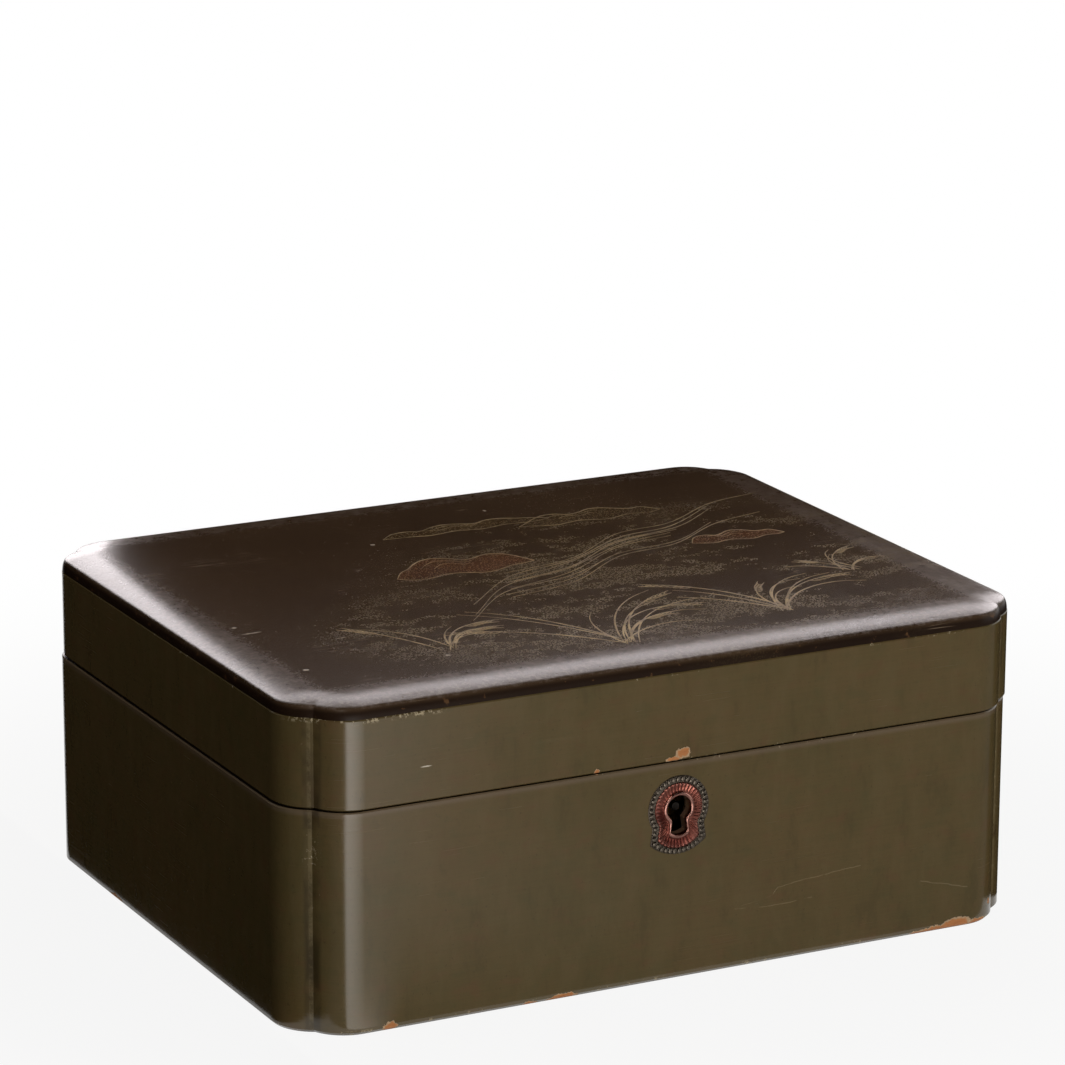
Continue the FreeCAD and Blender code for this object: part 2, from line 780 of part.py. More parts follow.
# Brushes on two notched rests in the right bay
brush_z = tray_floor_top + rest_height
brush_start = -(brush_length + hair_length) / 2
rest_half = (tray_half_width - tray_wall - bay_half - tray_divider) / 2
brush_places = [side_bay_middle - brush_spacing / 2, side_bay_middle + brush_spacing / 2]
grooves = [
    Part.makeCylinder(brush_radius + rest_fit, 2 * tray_half_depth,
                      V(x, -tray_half_depth, brush_z), V(0, 1, 0))
    for x in brush_places
]
ferrule_start = brush_length - brush_ferrule_length
rest_back = brush_start + ferrule_start - ferrule_gap
for name, y in (("front", brush_start + rest_setback), ("back", rest_back)):
    rest = block((side_bay_middle - rest_half, side_bay_middle + rest_half),
                 (y - rest_thickness, y), (tray_floor_top, brush_z))
    nodes[f"brush_rest_{name}"] = rest.cut(grooves)

handle_profile = ring_of([
    V(0, 0, 0), V(brush_radius, 0, 0), V(brush_radius, ferrule_start, 0),
    V(brush_ferrule_radius, ferrule_start, 0), V(brush_ferrule_radius, brush_length, 0),
    V(0, brush_length, 0),
])
handle = Part.Face(handle_profile).revolve(ORIGIN, V(0, 1, 0), 360)
hair_profile = [(brush_radius, 0), (hair_belly, hair_belly_share), (hair_neck, hair_neck_share),
                (hair_tip, 1)]
hair = faceted([
    even_ring(radius, V(0, hair_length * share, 0), V(0, 1, 0), hair_sides)
    for radius, share in hair_profile
])
for name, x in zip(("left", "right"), brush_places):
    nodes[f"brush_{name}_handle"] = moved(handle, x, brush_start, brush_z)
    nodes[f"brush_{name}_hair"] = moved(hair, x, brush_start + brush_length, brush_z)

os.makedirs("parts", exist_ok=True)
for name, shape in nodes.items():
    shape.exportStep(f"parts/{name}.step")
print(len(nodes), "nodes, the tray lifts", round(tray_travel, 2), "mm")
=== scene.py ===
import json
import math
from functools import reduce

import bmesh
import bpy
import numpy as np
from mathutils import Matrix, Vector


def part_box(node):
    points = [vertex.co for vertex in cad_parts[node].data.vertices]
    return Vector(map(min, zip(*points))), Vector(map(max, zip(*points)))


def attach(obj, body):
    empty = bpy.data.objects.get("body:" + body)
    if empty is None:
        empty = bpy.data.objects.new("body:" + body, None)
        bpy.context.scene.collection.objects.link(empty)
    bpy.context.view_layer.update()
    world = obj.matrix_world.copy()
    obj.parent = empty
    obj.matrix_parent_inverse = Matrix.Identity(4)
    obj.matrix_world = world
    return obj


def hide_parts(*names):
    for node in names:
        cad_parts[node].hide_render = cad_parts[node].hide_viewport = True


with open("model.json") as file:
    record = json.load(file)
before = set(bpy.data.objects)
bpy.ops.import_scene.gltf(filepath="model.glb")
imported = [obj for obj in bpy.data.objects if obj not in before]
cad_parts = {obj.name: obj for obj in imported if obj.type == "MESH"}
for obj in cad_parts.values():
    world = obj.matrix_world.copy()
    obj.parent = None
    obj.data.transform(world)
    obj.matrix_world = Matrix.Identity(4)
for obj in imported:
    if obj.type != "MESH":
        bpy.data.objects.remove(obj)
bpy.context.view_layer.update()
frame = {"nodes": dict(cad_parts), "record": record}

# Sizes in metres, as in the part's source
HALF_WIDTH = 0.125
HALF_DEPTH = 0.100
ARC_RADIUS = 0.0145
NOTCH_DEPTH = 0.008
ARC_START = NOTCH_DEPTH + math.sqrt(2 * ARC_RADIUS * NOTCH_DEPTH - NOTCH_DEPTH ** 2)
ARC_ANGLE = math.acos((ARC_RADIUS - NOTCH_DEPTH) / ARC_RADIUS)
FOOT_BEVEL = 0.001
SEAM_BEVEL = 0.0004
RIM_TOP = 0.069
LID_BASE = 0.0694
SEAM_MIDDLE = (RIM_TOP + LID_BASE) / 2
LID_SIDE_TOP = 0.097
LID_SHIFT = 0.0006
KEY_HEIGHT = 0.0544
MM = 0.001


def paint_of(red, green, blue):
    """A colour seen on the screen, as the light it stands for."""
    def light(value):
        value /= 255
        return value / 12.92 if value <= 0.04045 else ((value + 0.055) / 1.055) ** 2.4
    return (light(red), light(green), light(blue), 1.0)


# Finishes

class Signal:
    """A shader socket that Python's operators work on."""

    def __init__(self, finish, socket):
        self.finish = finish
        self.socket = socket

    def __add__(self, other):
        return self.finish.sums("ADD", self, other)

    def __sub__(self, other):
        return self.finish.sums("SUBTRACT", self, other)

    def __rsub__(self, other):
        return self.finish.sums("SUBTRACT", other, self)

    def __mul__(self, other):
        return self.finish.sums("MULTIPLY", self, other)

    def __truediv__(self, other):
        return self.finish.sums("DIVIDE", self, other)

    def __abs__(self):
        return self.finish.sums("ABSOLUTE", self)

    __radd__ = __add__
    __rmul__ = __mul__


class Finish:
    """A material written as expressions on signals."""

    def __init__(self, name, **steady):
        self.material = bpy.data.materials.new(name)
        self.material.use_nodes = True
        self.tree = self.material.node_tree
        self.shader = self.tree.nodes["Principled BSDF"]
        for label, value in steady.items():
            self.shader.inputs[label.replace("_", " ").title().replace("Ior", "IOR")].default_value = value
        self.place = self.node("ShaderNodeTexCoord", output="Object")
        self.x, self.y, self.z = (
            self.node("ShaderNodeSeparateXYZ", inputs={0: self.place}, output=axis) for axis in (0, 1, 2))

    def node(self, kind, settings=None, inputs=None, output=0):
        made = self.tree.nodes.new(kind)
        for label, value in (settings or {}).items():
            if label == "stops":
                ramp = made.color_ramp.elements
                while len(ramp) < len(value):
                    ramp.new(1.0)
                for element, (position, colour) in zip(ramp, value):
                    element.position = position
                    element.color = colour
            else:
                setattr(made, label, value)
        for label, value in (inputs or {}).items():
            if isinstance(value, Signal):
                self.tree.links.new(value.socket, made.inputs[label])
            else:
                made.inputs[label].default_value = value
        return Signal(self, made.outputs[output])

    def sums(self, operation, *values):
        return self.node("ShaderNodeMath", {"operation": operation}, dict(enumerate(values)))

    def vectors(self, operation, *values, output=0):
        return self.node("ShaderNodeVectorMath", {"operation": operation}, dict(enumerate(values)), output)

    def either(self, first, second):
        return self.sums("MAXIMUM", first, second)

    def both(self, first, second):
        return self.sums("MINIMUM", first, second)

    def rise(self, value, low, high):
        """0 below low, 1 above high, and smooth between."""
        return self.node("ShaderNodeMapRange", {"interpolation_type": "SMOOTHSTEP"},
                         {0: value, 1: low, 2: high, 3: 0.0, 4: 1.0})

    def fall(self, value, low, high):
        """1 below low, 0 above high."""
        return self.node("ShaderNodeMapRange", {"interpolation_type": "SMOOTHSTEP"},
                         {0: value, 1: low, 2: high, 3: 1.0, 4: 0.0})

    def stretched(self, x, y, z):
        return self.vectors("MULTIPLY", self.place, (x, y, z))

    def noise(self, size, detail=3.0, rough=0.55, at=None, warp=0.0):
        """Smooth noise from 0 to 1 whose features are about size metres across."""
        return self.node("ShaderNodeTexNoise", None, {
            "Vector": at or self.place, "Scale": 1.0 / size, "Detail": detail,
            "Roughness": rough, "Distortion": warp})

    def cells(self, size, at=None, feature="F1", randomness=1.0):
        return self.node("ShaderNodeTexVoronoi", {"feature": feature}, {
            "Vector": at or self.place, "Scale": 1.0 / size, "Randomness": randomness})

    def blend(self, share, first, second):
        """From the first colour to the second as share goes from 0 to 1."""
        return self.node("ShaderNodeMix", {"data_type": "RGBA"}, {0: share, 6: first, 7: second}, 2)

    def spot(self, middle, reach, shake=None, edge=0.25):
        """1 inside an egg-shaped spot round a point, with an uneven edge."""
        place = self.place if shake is None else self.vectors("ADD", self.place, shake)
        return self.fall(self.shares_away(place, middle, reach), 1.0 - edge, 1.0 + edge)

    def shares_away(self, place, middle, reach):
        """Distance from a point, where 1 is an egg-shaped reach round it."""
        away = self.vectors("DIVIDE", self.vectors("SUBTRACT", place, middle), reach)
        return self.vectors("LENGTH", away, output=1)

    def away_from(self, place, start, end):
        """Distance from a straight line between two points."""
        start, end = Vector(start), Vector(end)
        arm = self.vectors("SUBTRACT", place, tuple(start))
        share = self.vectors("DOT_PRODUCT", arm, tuple((end - start) / (end - start).length_squared),
                             output=1)
        share = self.both(self.either(share, 0.0), 1.0)
        foot = self.node("ShaderNodeMix", {"data_type": "VECTOR"},
                         {0: share, 4: (0, 0, 0), 5: tuple(end - start)}, 1)
        return self.vectors("LENGTH", self.vectors("SUBTRACT", arm, foot), output=1)

    def shaken(self, size, reach):
        """A small random shift of the place, for uneven edges."""
        cloud = self.node("ShaderNodeTexNoise", None, {
            "Vector": self.place, "Scale": 1.0 / size, "Detail": 3.0, "Roughness": 0.65}, 1)
        cloud = self.vectors("SUBTRACT", cloud, (0.5, 0.5, 0.5))
        return self.vectors("MULTIPLY", cloud, (2 * reach, 2 * reach, 2 * reach))

    def done(self, colour, roughness=None, metallic=None, height=0.0, depth=0.0001):
        """Joins the signals to the shader, height as bumps of that depth."""
        for label, value in (("Base Color", colour), ("Roughness", roughness), ("Metallic", metallic)):
            if isinstance(value, Signal):
                self.tree.links.new(value.socket, self.shader.inputs[label])
            elif value is not None:
                self.shader.inputs[label].default_value = value
        bump = self.node("ShaderNodeBump", None, {"Strength": 1.0, "Distance": depth, "Height": height})
        self.tree.links.new(bump.socket, self.shader.inputs["Normal"])
        return self.material


def olive_lacquer():
    """Old olive lacquer: brush grain along the faces, worn edges, chips down to the wood; painted shade in
    the notches and a painted highlight along their ridges.
    """
    f = Finish("olive_lacquer", ior=1.5)
    grain = f.noise(0.03, 3.0, 0.6, f.stretched(1.0, 1.0, 60.0))
    fine = f.noise(0.012, 2.0, 0.6, f.stretched(1.0, 1.0, 34.0))
    cloud = f.noise(0.05, 4.0, 0.6)
    mottle = f.noise(0.009, 4.0, 0.65, f.stretched(1.0, 1.0, 1.6))
    green = f.blend(f.rise(cloud, 0.3, 0.7), paint_of(87, 75, 46), paint_of(94, 78, 49))
    smear = f.noise(0.007, 4.0, 0.7, f.stretched(1.0, 1.0, 0.35))
    green = f.blend(f.rise(grain, 0.35, 0.75) * 0.16, green, paint_of(70, 62, 38))
    green = f.blend(f.rise(mottle, 0.5, 0.75) * 0.4, green, paint_of(98, 70, 48))
    green = f.blend(f.fall(mottle, 0.3, 0.48) * 0.4, green, paint_of(80, 74, 46))
    green = f.blend(f.rise(smear, 0.45, 0.7) * 0.3, green, paint_of(100, 86, 58))
    green = f.blend(f.fall(smear, 0.3, 0.46) * 0.35, green, paint_of(72, 62, 38))
    fleck = f.rise(f.noise(0.0011, 2.0, 0.6), 0.66, 0.72)
    green = f.blend(fleck * 0.4, green, paint_of(62, 52, 34))

    # Chips: a torn rim of pale ground, with raw wood inside
    place = f.vectors("ADD", f.place, f.shaken(0.0018, 0.0012))
    away = reduce(f.both, [f.shares_away(place, middle, reach) for middle, reach in CHIPS])
    chips = f.fall(away, 0.94, 1.02)
    core = f.fall(away + f.noise(0.0016, 3.0, 0.7) * 0.7, 1.06, 1.2)

    # Wear on the edges, and painted shade in the notches
    speckle = f.noise(0.0014, 3.0, 0.7)
    patchy = f.noise(0.02, 3.0, 0.6)
    near_top = f.rise(f.z, 0.0961, 0.0969)
    near_seam = f.fall(abs(f.z - SEAM_MIDDLE), 0.0003, 0.0010)
    near_foot = f.fall(f.z, 0.0004, 0.0020)
    notch = f.both(f.fall(abs(f.x), 0.1182, 0.1198), f.fall(abs(f.y), 0.0932, 0.0948))
    notch = f.both(notch, f.both(f.rise(abs(f.x), 0.110, 0.112), f.rise(abs(f.y), 0.085, 0.087)))
    # At the lid's front-left top the pale wear reaches wider: partly real wear, partly a painted highlight on
    # that edge
    front_left = f.both(f.rise(f.z, 0.0952, 0.0968), f.spot((-0.103, -0.1, 0.097), (0.022, 0.02, 0.02)))
    worn = f.both(near_top, f.rise(speckle + patchy, 1.18, 1.26))
    worn = f.either(worn, f.both(front_left, f.rise(speckle + patchy * 0.5, 0.80, 0.86)))
    worn = f.either(worn, f.both(near_seam, f.rise(speckle + patchy, 1.2, 1.3)))
    worn = f.either(worn, f.both(near_foot, f.rise(speckle + patchy, 1.12, 1.22)))
    worn = f.either(worn, f.both(notch, f.rise(speckle + patchy, 1.2, 1.34)) * 0.5)
    rubbed = f.both(f.rise(f.z, RIM_TOP - 0.0022, RIM_TOP - 0.0008), f.fall(f.z, RIM_TOP - 0.0001, RIM_TOP))
    # Painted shade: the notches are darkened in patches, standing for the shadow in these recesses
    notch_shade = f.both(notch, f.fall(patchy, 0.35, 0.6))
    green = f.blend(rubbed * 0.4, green, paint_of(118, 102, 90))
    green = f.blend(notch_shade * 0.6, green, paint_of(38, 30, 20))
    green = f.blend(worn * 0.75, green, paint_of(198, 182, 150))

    # Scratches: a bowed outline on the front, a pale nick on the lid's rail
    place = f.vectors("ADD", f.place, f.shaken(0.009, 0.0007))
    away = reduce(f.both, [f.away_from(place, start, end) for start, end in SCRATCHES])
    scratched = f.both(f.fall(away, 0.00009, 0.00022), f.fall(f.y, -0.0995, -0.0993))
    green = f.blend(scratched * 0.34, green, paint_of(150, 132, 100))
    pale = f.spot((-0.0840, -0.1, 0.0800), (0.0016, 0.004, 0.00018), f.shaken(0.003, 0.0002), 0.4)
    green = f.blend(pale, green, paint_of(204, 194, 176))
    # Painted highlight: a pale line along the ridge where each corner arc meets its notch, broken up by noise
    ridge_highlight = f.both(f.both(f.rise(abs(f.x), 0.11705, 0.1172), f.fall(abs(f.x), 0.1178, 0.1183)),
                   f.rise(abs(f.y), 0.0905, 0.091))
    ridge_highlight = f.both(ridge_highlight, f.rise(speckle * 0.7 + patchy, 0.7, 0.98))
    green = f.blend(ridge_highlight * 0.3, green, paint_of(140, 126, 94))
    ground = f.blend(f.noise(0.001, 3.0, 0.6), paint_of(212, 186, 150), paint_of(140, 104, 74))
    wood = f.blend(f.noise(0.002, 4.0, 0.7, f.stretched(0.4, 0.4, 2.0)), paint_of(206, 142, 88),
                   paint_of(142, 84, 48))
    green = f.blend(chips, green, f.blend(core, ground, wood))

    # Inside faces, the rims that meet, and the wall of the keyhole; the keyhole's wall is painted dark deeper
    # in as shade
    seam = f.both(f.rise(f.z, RIM_TOP - 0.0002, RIM_TOP - 0.0001),
                  f.fall(f.z, LID_BASE + 0.0007, LID_BASE + 0.0008))
    seam = f.both(seam, f.fall(abs(f.z - SEAM_MIDDLE), 0.00021, 0.00022))
    inner = f.both(f.fall(abs(f.y), 0.0901, 0.0903), f.fall(abs(f.x), 0.1153, 0.1155))
    hole = f.both(f.both(f.fall(abs(f.x), 0.0062, 0.0064), f.fall(abs(f.z - 0.0524), 0.0115, 0.0117)),
                  f.fall(abs(f.y + 0.095), 0.0046, 0.0048))
    dark = f.either(f.either(seam, inner), f.either(hole, f.fall(f.z, 0.0001, 0.0002)))
    green = f.blend(dark, green, paint_of(30, 21, 15))
    # The keyhole's wall gets its lighter colour only near its mouth; deeper in it stays dark as painted shade
    green = f.blend(f.both(hole, f.fall(f.y, -0.0945, -0.0915)), green, paint_of(124, 94, 74))

    scuff = f.rise(f.noise(0.004, 2.0, 0.5, f.stretched(0.15, 0.15, 6.0)), 0.6, 0.7)
    rough = 0.15 + cloud * 0.08 + scuff * 0.08 + worn * 0.3 + chips * 0.45 + dark * 0.2
    height = fine * 0.18 + grain * 0.12 - chips * 3.0 - worn * 0.6 + cloud * 0.8 - scratched * 0.5
    return f.done(green, rough, height=height, depth=0.00010)


# Start and end of each scratch on the front, in metres
SCRATCHES = [
    ((0.0195, -0.1, 0.0190), (0.0330, -0.1, 0.0178)),
    ((0.0330, -0.1, 0.0178), (0.0470, -0.1, 0.0184)),
    ((0.0195, -0.1, 0.0190), (0.0330, -0.1, 0.0213)),
    ((0.0330, -0.1, 0.0213), (0.0350, -0.1, 0.0238)),
    ((0.0350, -0.1, 0.0238), (0.0640, -0.1, 0.0262)),
    ((0.0860, -0.1, 0.0176), (0.1030, -0.1, 0.0130)),
]
# Middle of each chip and its reach along x, y and z, in metres
CHIPS = [
    ((0.0014, -0.1, 0.0716), (0.0028, 0.004, 0.0019)),
    ((-0.0024, -0.1, 0.0702), (0.0026, 0.004, 0.0008)),
    ((-0.0277, -0.1, 0.0698), (0.0010, 0.004, 0.0012)),
    ((-0.0960, -0.1, 0.0008), (0.0026, 0.004, 0.0020)),
    ((-0.0498, -0.1, 0.0002), (0.0030, 0.004, 0.0011)),
    ((-0.0390, -0.1, 0.0004), (0.0055, 0.004, 0.0014)),
    ((0.0920, -0.1, 0.0000), (0.0105, 0.004, 0.0018)),
    ((0.0995, -0.1, 0.0008), (0.0058, 0.004, 0.0027)),
    ((0.1075, -0.0985, 0.0004), (0.0040, 0.004, 0.0016)),
    ((0.1130, -0.0965, 0.0058), (0.0009, 0.003, 0.0011)),
    ((0.0600, 0.1, 0.0968), (0.0040, 0.004, 0.0014)),
    ((-0.1250, 0.04, 0.0005), (0.004, 0.0060, 0.0016)),
    ((0.1256, -0.03, 0.0695), (0.004, 0.0034, 0.0012)),
]


def brown_lacquer(name, gloss):
    """The lid's dark brown lacquer: faint brush marks, gold dust, scratches and nicks, with a painted sheen
    on the shoulder and painted shade on the rolled edge.
    """
    f = Finish(name, ior=1.52, specular_ior_level=gloss)
    cloud = f.noise(0.06, 4.0, 0.6)
    streak = f.noise(0.02, 3.0, 0.6, f.stretched(0.35, 6.0, 1.0))
    brown = f.blend(f.rise(cloud, 0.3, 0.7), paint_of(60, 45, 32), paint_of(73, 56, 40))
    brown = f.blend(f.rise(streak, 0.45, 0.8) * 0.4, brown, paint_of(82, 64, 46))
    edge = f.fall(f.z, 0.0988, 0.1006)
    # Painted shade: the rolled edge is darkened almost to black-brown
    brown = f.blend(edge * 0.9, brown, paint_of(30, 19, 13))
    outer = f.rise(f.either(abs(f.x) - 0.106, abs(f.y) - 0.081), 0.0, 0.007)
    shoulder = f.both(outer, f.rise(f.z, 0.0997, 0.1006))
    sheen_mottle = f.noise(0.0024, 5.0, 0.75)
    # Painted sheen: pale mottled patches on the shoulder stand for the light it catches
    brown = f.blend(shoulder * f.rise(sheen_mottle, 0.44, 0.66) * 0.36, brown, paint_of(158, 142, 134))

    # Gold dust drifts over the half with the drawing
    drift = f.noise(0.03, 3.0, 0.6, f.stretched(0.6, 1.6, 1.0))
    field = f.either(f.spot((0.045, -0.02, 0.1), (0.075, 0.062, 0.05), edge=0.45),
                     f.spot((-0.02, -0.045, 0.1), (0.055, 0.036, 0.05), edge=0.5))
    clump = f.noise(0.0055, 3.0, 0.65, f.stretched(1.0, 1.4, 1.0))
    keep = f.rise(clump * 0.7 + drift, 0.86, 0.98)
    dust = f.both(f.fall(f.cells(0.0007), 0.26, 0.46), f.both(keep, field))
    brown = f.blend(dust * 0.7, brown, paint_of(158, 138, 98))
    haze = f.both(f.rise(clump * 0.5 + drift, 0.68, 0.9), field)
    brown = f.blend(haze * 0.5, brown, paint_of(104, 86, 56))

    # Hairline scratches and a few pale nicks
    scratch = f.noise(0.010, 1.0, 0.4, f.stretched(0.12, 5.0, 1.0), warp=0.3)
    scratch = f.both(f.fall(abs(scratch - 0.5), 0.003, 0.010), f.rise(f.noise(0.02, 2.0, 0.5), 0.55, 0.7))
    shake = f.shaken(0.0012, 0.0005)
    nicks = reduce(f.either, [f.spot(middle, reach, shake, 0.3) for middle, reach in NICKS])
    brown = f.blend(scratch * 0.5, brown, paint_of(150, 130, 108))
    brown = f.blend(nicks * 0.9, brown, paint_of(206, 190, 172))
    rub = f.both(edge, f.rise(f.noise(0.004, 3.0, 0.7), 0.62, 0.7))
    brown = f.blend(rub * 0.5, brown, paint_of(116, 84, 56))

    grit = f.noise(0.0007, 2.0, 0.6)
    rough = (0.19 + cloud * 0.06 + f.rise(grit, 0.5, 0.8) * 0.06 + edge * 0.12 + dust * 0.25
             + shoulder * sheen_mottle * 0.14)
    height = (grit * 0.15 + shoulder * (sheen_mottle * 1.5 + grit * 0.5) + streak * 0.3 + cloud * 1.6
              - scratch * 0.6 - nicks * 1.5)
    return f.done(brown, rough, height=height, depth=0.00004)


# Middle of each nick on the lid and its reach along x, y and z, in metres
NICKS = [
    ((-0.1074, -0.0154, 0.103), (0.0008, 0.0006, 0.004)),
    ((-0.1050, -0.0230, 0.103), (0.0030, 0.0003, 0.004)),
    ((-0.1058, -0.0642, 0.103), (0.0009, 0.0008, 0.004)),
    ((-0.0830, -0.0400, 0.103), (0.0016, 0.0003, 0.004)),
    ((-0.0620, -0.0700, 0.103), (0.0008, 0.0006, 0.004)),
    ((-0.0310, 0.0480, 0.103), (0.0007, 0.0007, 0.004)),
    ((0.0200, 0.0700, 0.103), (0.0005, 0.0009, 0.004)),
]


def plain_lacquer(name, first, second, roughness=0.22):
    """Smooth dark lacquer with faint clouds and a little orange peel."""
    f = Finish(name, ior=1.5)
    cloud = f.noise(0.04, 3.0, 0.6)
    peel = f.noise(0.003, 2.0, 0.5)
    return f.done(f.blend(cloud, first, second), roughness + cloud * 0.08, height=peel, depth=0.00003)


def aged_metal(name, bright, dark, roughness=0.3, size=0.004, rubbed=None):
    """Metal with a brown skin in patches, rubbed bright on what stands proud of the front."""
    f = Finish(name, metallic=1.0)
    patch = f.noise(size, 3.0, 0.6)
    fine = f.noise(size / 8, 2.0, 0.5)
    mask = f.rise(patch, 0.38, 0.66)
    skin = f.blend(mask, bright, dark)
    rough = roughness + mask * 0.15 + fine * 0.04
    if rubbed:
        low, high, colour = rubbed
        proud = f.rise(-1.0 * f.y, HALF_DEPTH + low, HALF_DEPTH + high)
        skin = f.blend(proud, skin, colour)
        rough = rough - proud * 0.08
    return f.done(skin, rough, height=fine * 0.5 + patch, depth=0.00002)


def cloth(name, first, second):
    """A plain woven silk with a small lozenge in it."""
    f = Finish(name, roughness=0.8, sheen_weight=0.35, sheen_roughness=0.4)
    warp = f.node("ShaderNodeTexWave", {"bands_direction": "X"},
                  {"Vector": f.place, "Scale": 650.0, "Distortion": 0.4})
    weft = f.node("ShaderNodeTexWave", {"bands_direction": "Y"},
                  {"Vector": f.place, "Scale": 650.0, "Distortion": 0.4})
    slant = f.node("ShaderNodeCombineXYZ", None, {0: f.x + f.y * 0.6, 1: f.x - f.y * 0.6, 2: 0.0})
    figure = f.cells(0.0075, slant, "DISTANCE_TO_EDGE", randomness=0.0)
    mask = f.either(f.both(f.rise(figure, 0.06, 0.1), f.fall(figure, 0.14, 0.18)),
                    f.rise(figure, 0.3, 0.36)) * 0.6
    return f.done(f.blend(mask, first, second), height=warp + weft + mask * 0.5, depth=0.00006)


def stone_finish():
    """Slate, polished on the grinding land, with dry ink in the pool."""
    f = Finish("slate", ior=1.5)
    cloud = f.noise(0.012, 4.0, 0.65)
    speck = f.rise(f.noise(0.0009, 2.0, 0.6), 0.62, 0.72)
    grey = f.blend(cloud, paint_of(40, 42, 48), paint_of(62, 62, 68))
    grey = f.blend(speck * 0.4, grey, paint_of(96, 96, 100))
    deep = f.fall(f.z, 0.0505, 0.0555)
    grey = f.blend(deep * 0.85, grey, paint_of(14, 13, 14))
    return f.done(grey, 0.62 - deep * 0.3 + speck * 0.05, height=cloud + speck * 0.3, depth=0.00008)


def glaze():
    """Pale grey-green glaze with a fine crackle, thin and brownish on the edges."""
    f = Finish("dropper_glaze", roughness=0.12, ior=1.52, coat_weight=0.6, coat_roughness=0.05)
    crackle = f.fall(f.cells(0.004, feature="DISTANCE_TO_EDGE"), 0.01, 0.03)
    cloud = f.noise(0.01, 3.0, 0.6)
    green = f.blend(cloud, paint_of(150, 172, 152), paint_of(176, 192, 170))
    green = f.blend(crackle * 0.35, green, paint_of(120, 120, 96))
    return f.done(green, 0.12 + crackle * 0.1, height=cloud - crackle * 0.3, depth=0.00005)


def ink_cake():
    """Pressed ink: black, with a dull shine and a thin gilt frame."""
    f = Finish("pressed_ink", ior=1.45)
    low, high = (Vector(corner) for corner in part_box("ink_stick"))
    inner = f.both(f.both(f.x - low.x, high.x - f.x), f.both(f.y - low.y, high.y - f.y))
    frame_line = f.both(f.rise(inner, 0.0027, 0.0029), f.fall(inner, 0.0034, 0.0036))
    frame_line = f.both(frame_line, f.rise(f.z, high.z - 0.0004, high.z - 0.0003))
    worn = f.rise(f.noise(0.003, 3.0, 0.6), 0.4, 0.6)
    gilt = frame_line * worn
    cloud = f.noise(0.006, 3.0, 0.6)
    black = f.blend(cloud, paint_of(22, 21, 24), paint_of(36, 34, 36))
    return f.done(f.blend(gilt, black, paint_of(176, 140, 74)), 0.42 + cloud * 0.12 - gilt * 0.1,
                  metallic=gilt * 0.8, height=cloud - frame_line * 0.8, depth=0.0001)


def bamboo():
    """Bamboo with fine lengthwise fibres; the ferrule is dark horn."""
    f = Finish("bamboo", ior=1.45)
    fibre = f.noise(0.004, 3.0, 0.6, f.stretched(12.0, 0.6, 12.0))
    spots = f.rise(f.noise(0.006, 3.0, 0.7), 0.6, 0.75)
    tan = f.blend(fibre, paint_of(186, 150, 96), paint_of(150, 112, 66))
    tan = f.blend(spots * 0.5, tan, paint_of(110, 74, 40))
    horn = f.rise(f.y, 0.0334, 0.0336)
    tan = f.blend(horn, tan, f.blend(fibre, paint_of(38, 28, 22), paint_of(62, 46, 34)))
    return f.done(tan, 0.38 - horn * 0.15 + fibre * 0.1, height=fibre, depth=0.00008)


def hair():
    """Cream goat hair, darker from ink towards the tip."""
    f = Finish("brush_hair", roughness=0.7, sheen_weight=0.2)
    strand = f.noise(0.003, 2.0, 0.7, f.stretched(16.0, 0.5, 16.0))
    tip = f.rise(f.y + strand * 0.004, 0.054, 0.062)
    cream = f.blend(strand, paint_of(214, 196, 160), paint_of(160, 136, 98))
    return f.done(f.blend(tip * 0.85, cream, paint_of(42, 36, 32)), height=strand, depth=0.0004)


def worn_gilt():
    """Gold powder lines rubbed thin, with the brown showing through."""
    f = Finish("worn_gilt", ior=1.5)
    worn = f.rise(f.noise(0.006, 4.0, 0.7), 0.38, 0.62)
    grain = f.noise(0.0005, 2.0, 0.6)
    gold = f.blend(grain, paint_of(206, 184, 142), paint_of(160, 132, 86))
    gold = f.blend(worn * 0.65, gold, paint_of(92, 72, 50))
    return f.done(gold, 0.5 - worn * 0.15, metallic=0.25, height=grain, depth=0.00005)


def dusted(name, body, gold, share, gilt_above=None):
    """Lacquer sprinkled with gold powder, thinner in patches; edges above a height are gilt."""
    f = Finish(name, ior=1.5)
    patch = f.noise(0.012, 4.0, 0.65)
    dust = f.fall(f.cells(0.0007), 0.16, 0.3)
    dust = f.both(dust, f.rise(f.noise(0.0022, 2.0, 0.6) + patch, 1.15 - share, 1.35 - share))
    colour = f.blend(dust * 0.8, f.blend(patch, body, paint_of(44, 32, 25)), gold)
    metallic = dust * 0.3
    if gilt_above:
        gilt = f.rise(f.z, gilt_above, gilt_above + 0.0002) * f.fall(f.noise(0.004, 3.0, 0.65), 0.56, 0.66)
        colour = f.blend(gilt * 0.85, colour, gold)
        metallic = f.either(metallic, gilt * 0.7)
    return f.done(colour, 0.26 + dust * 0.2, metallic=metallic, height=dust + patch, depth=0.00003)


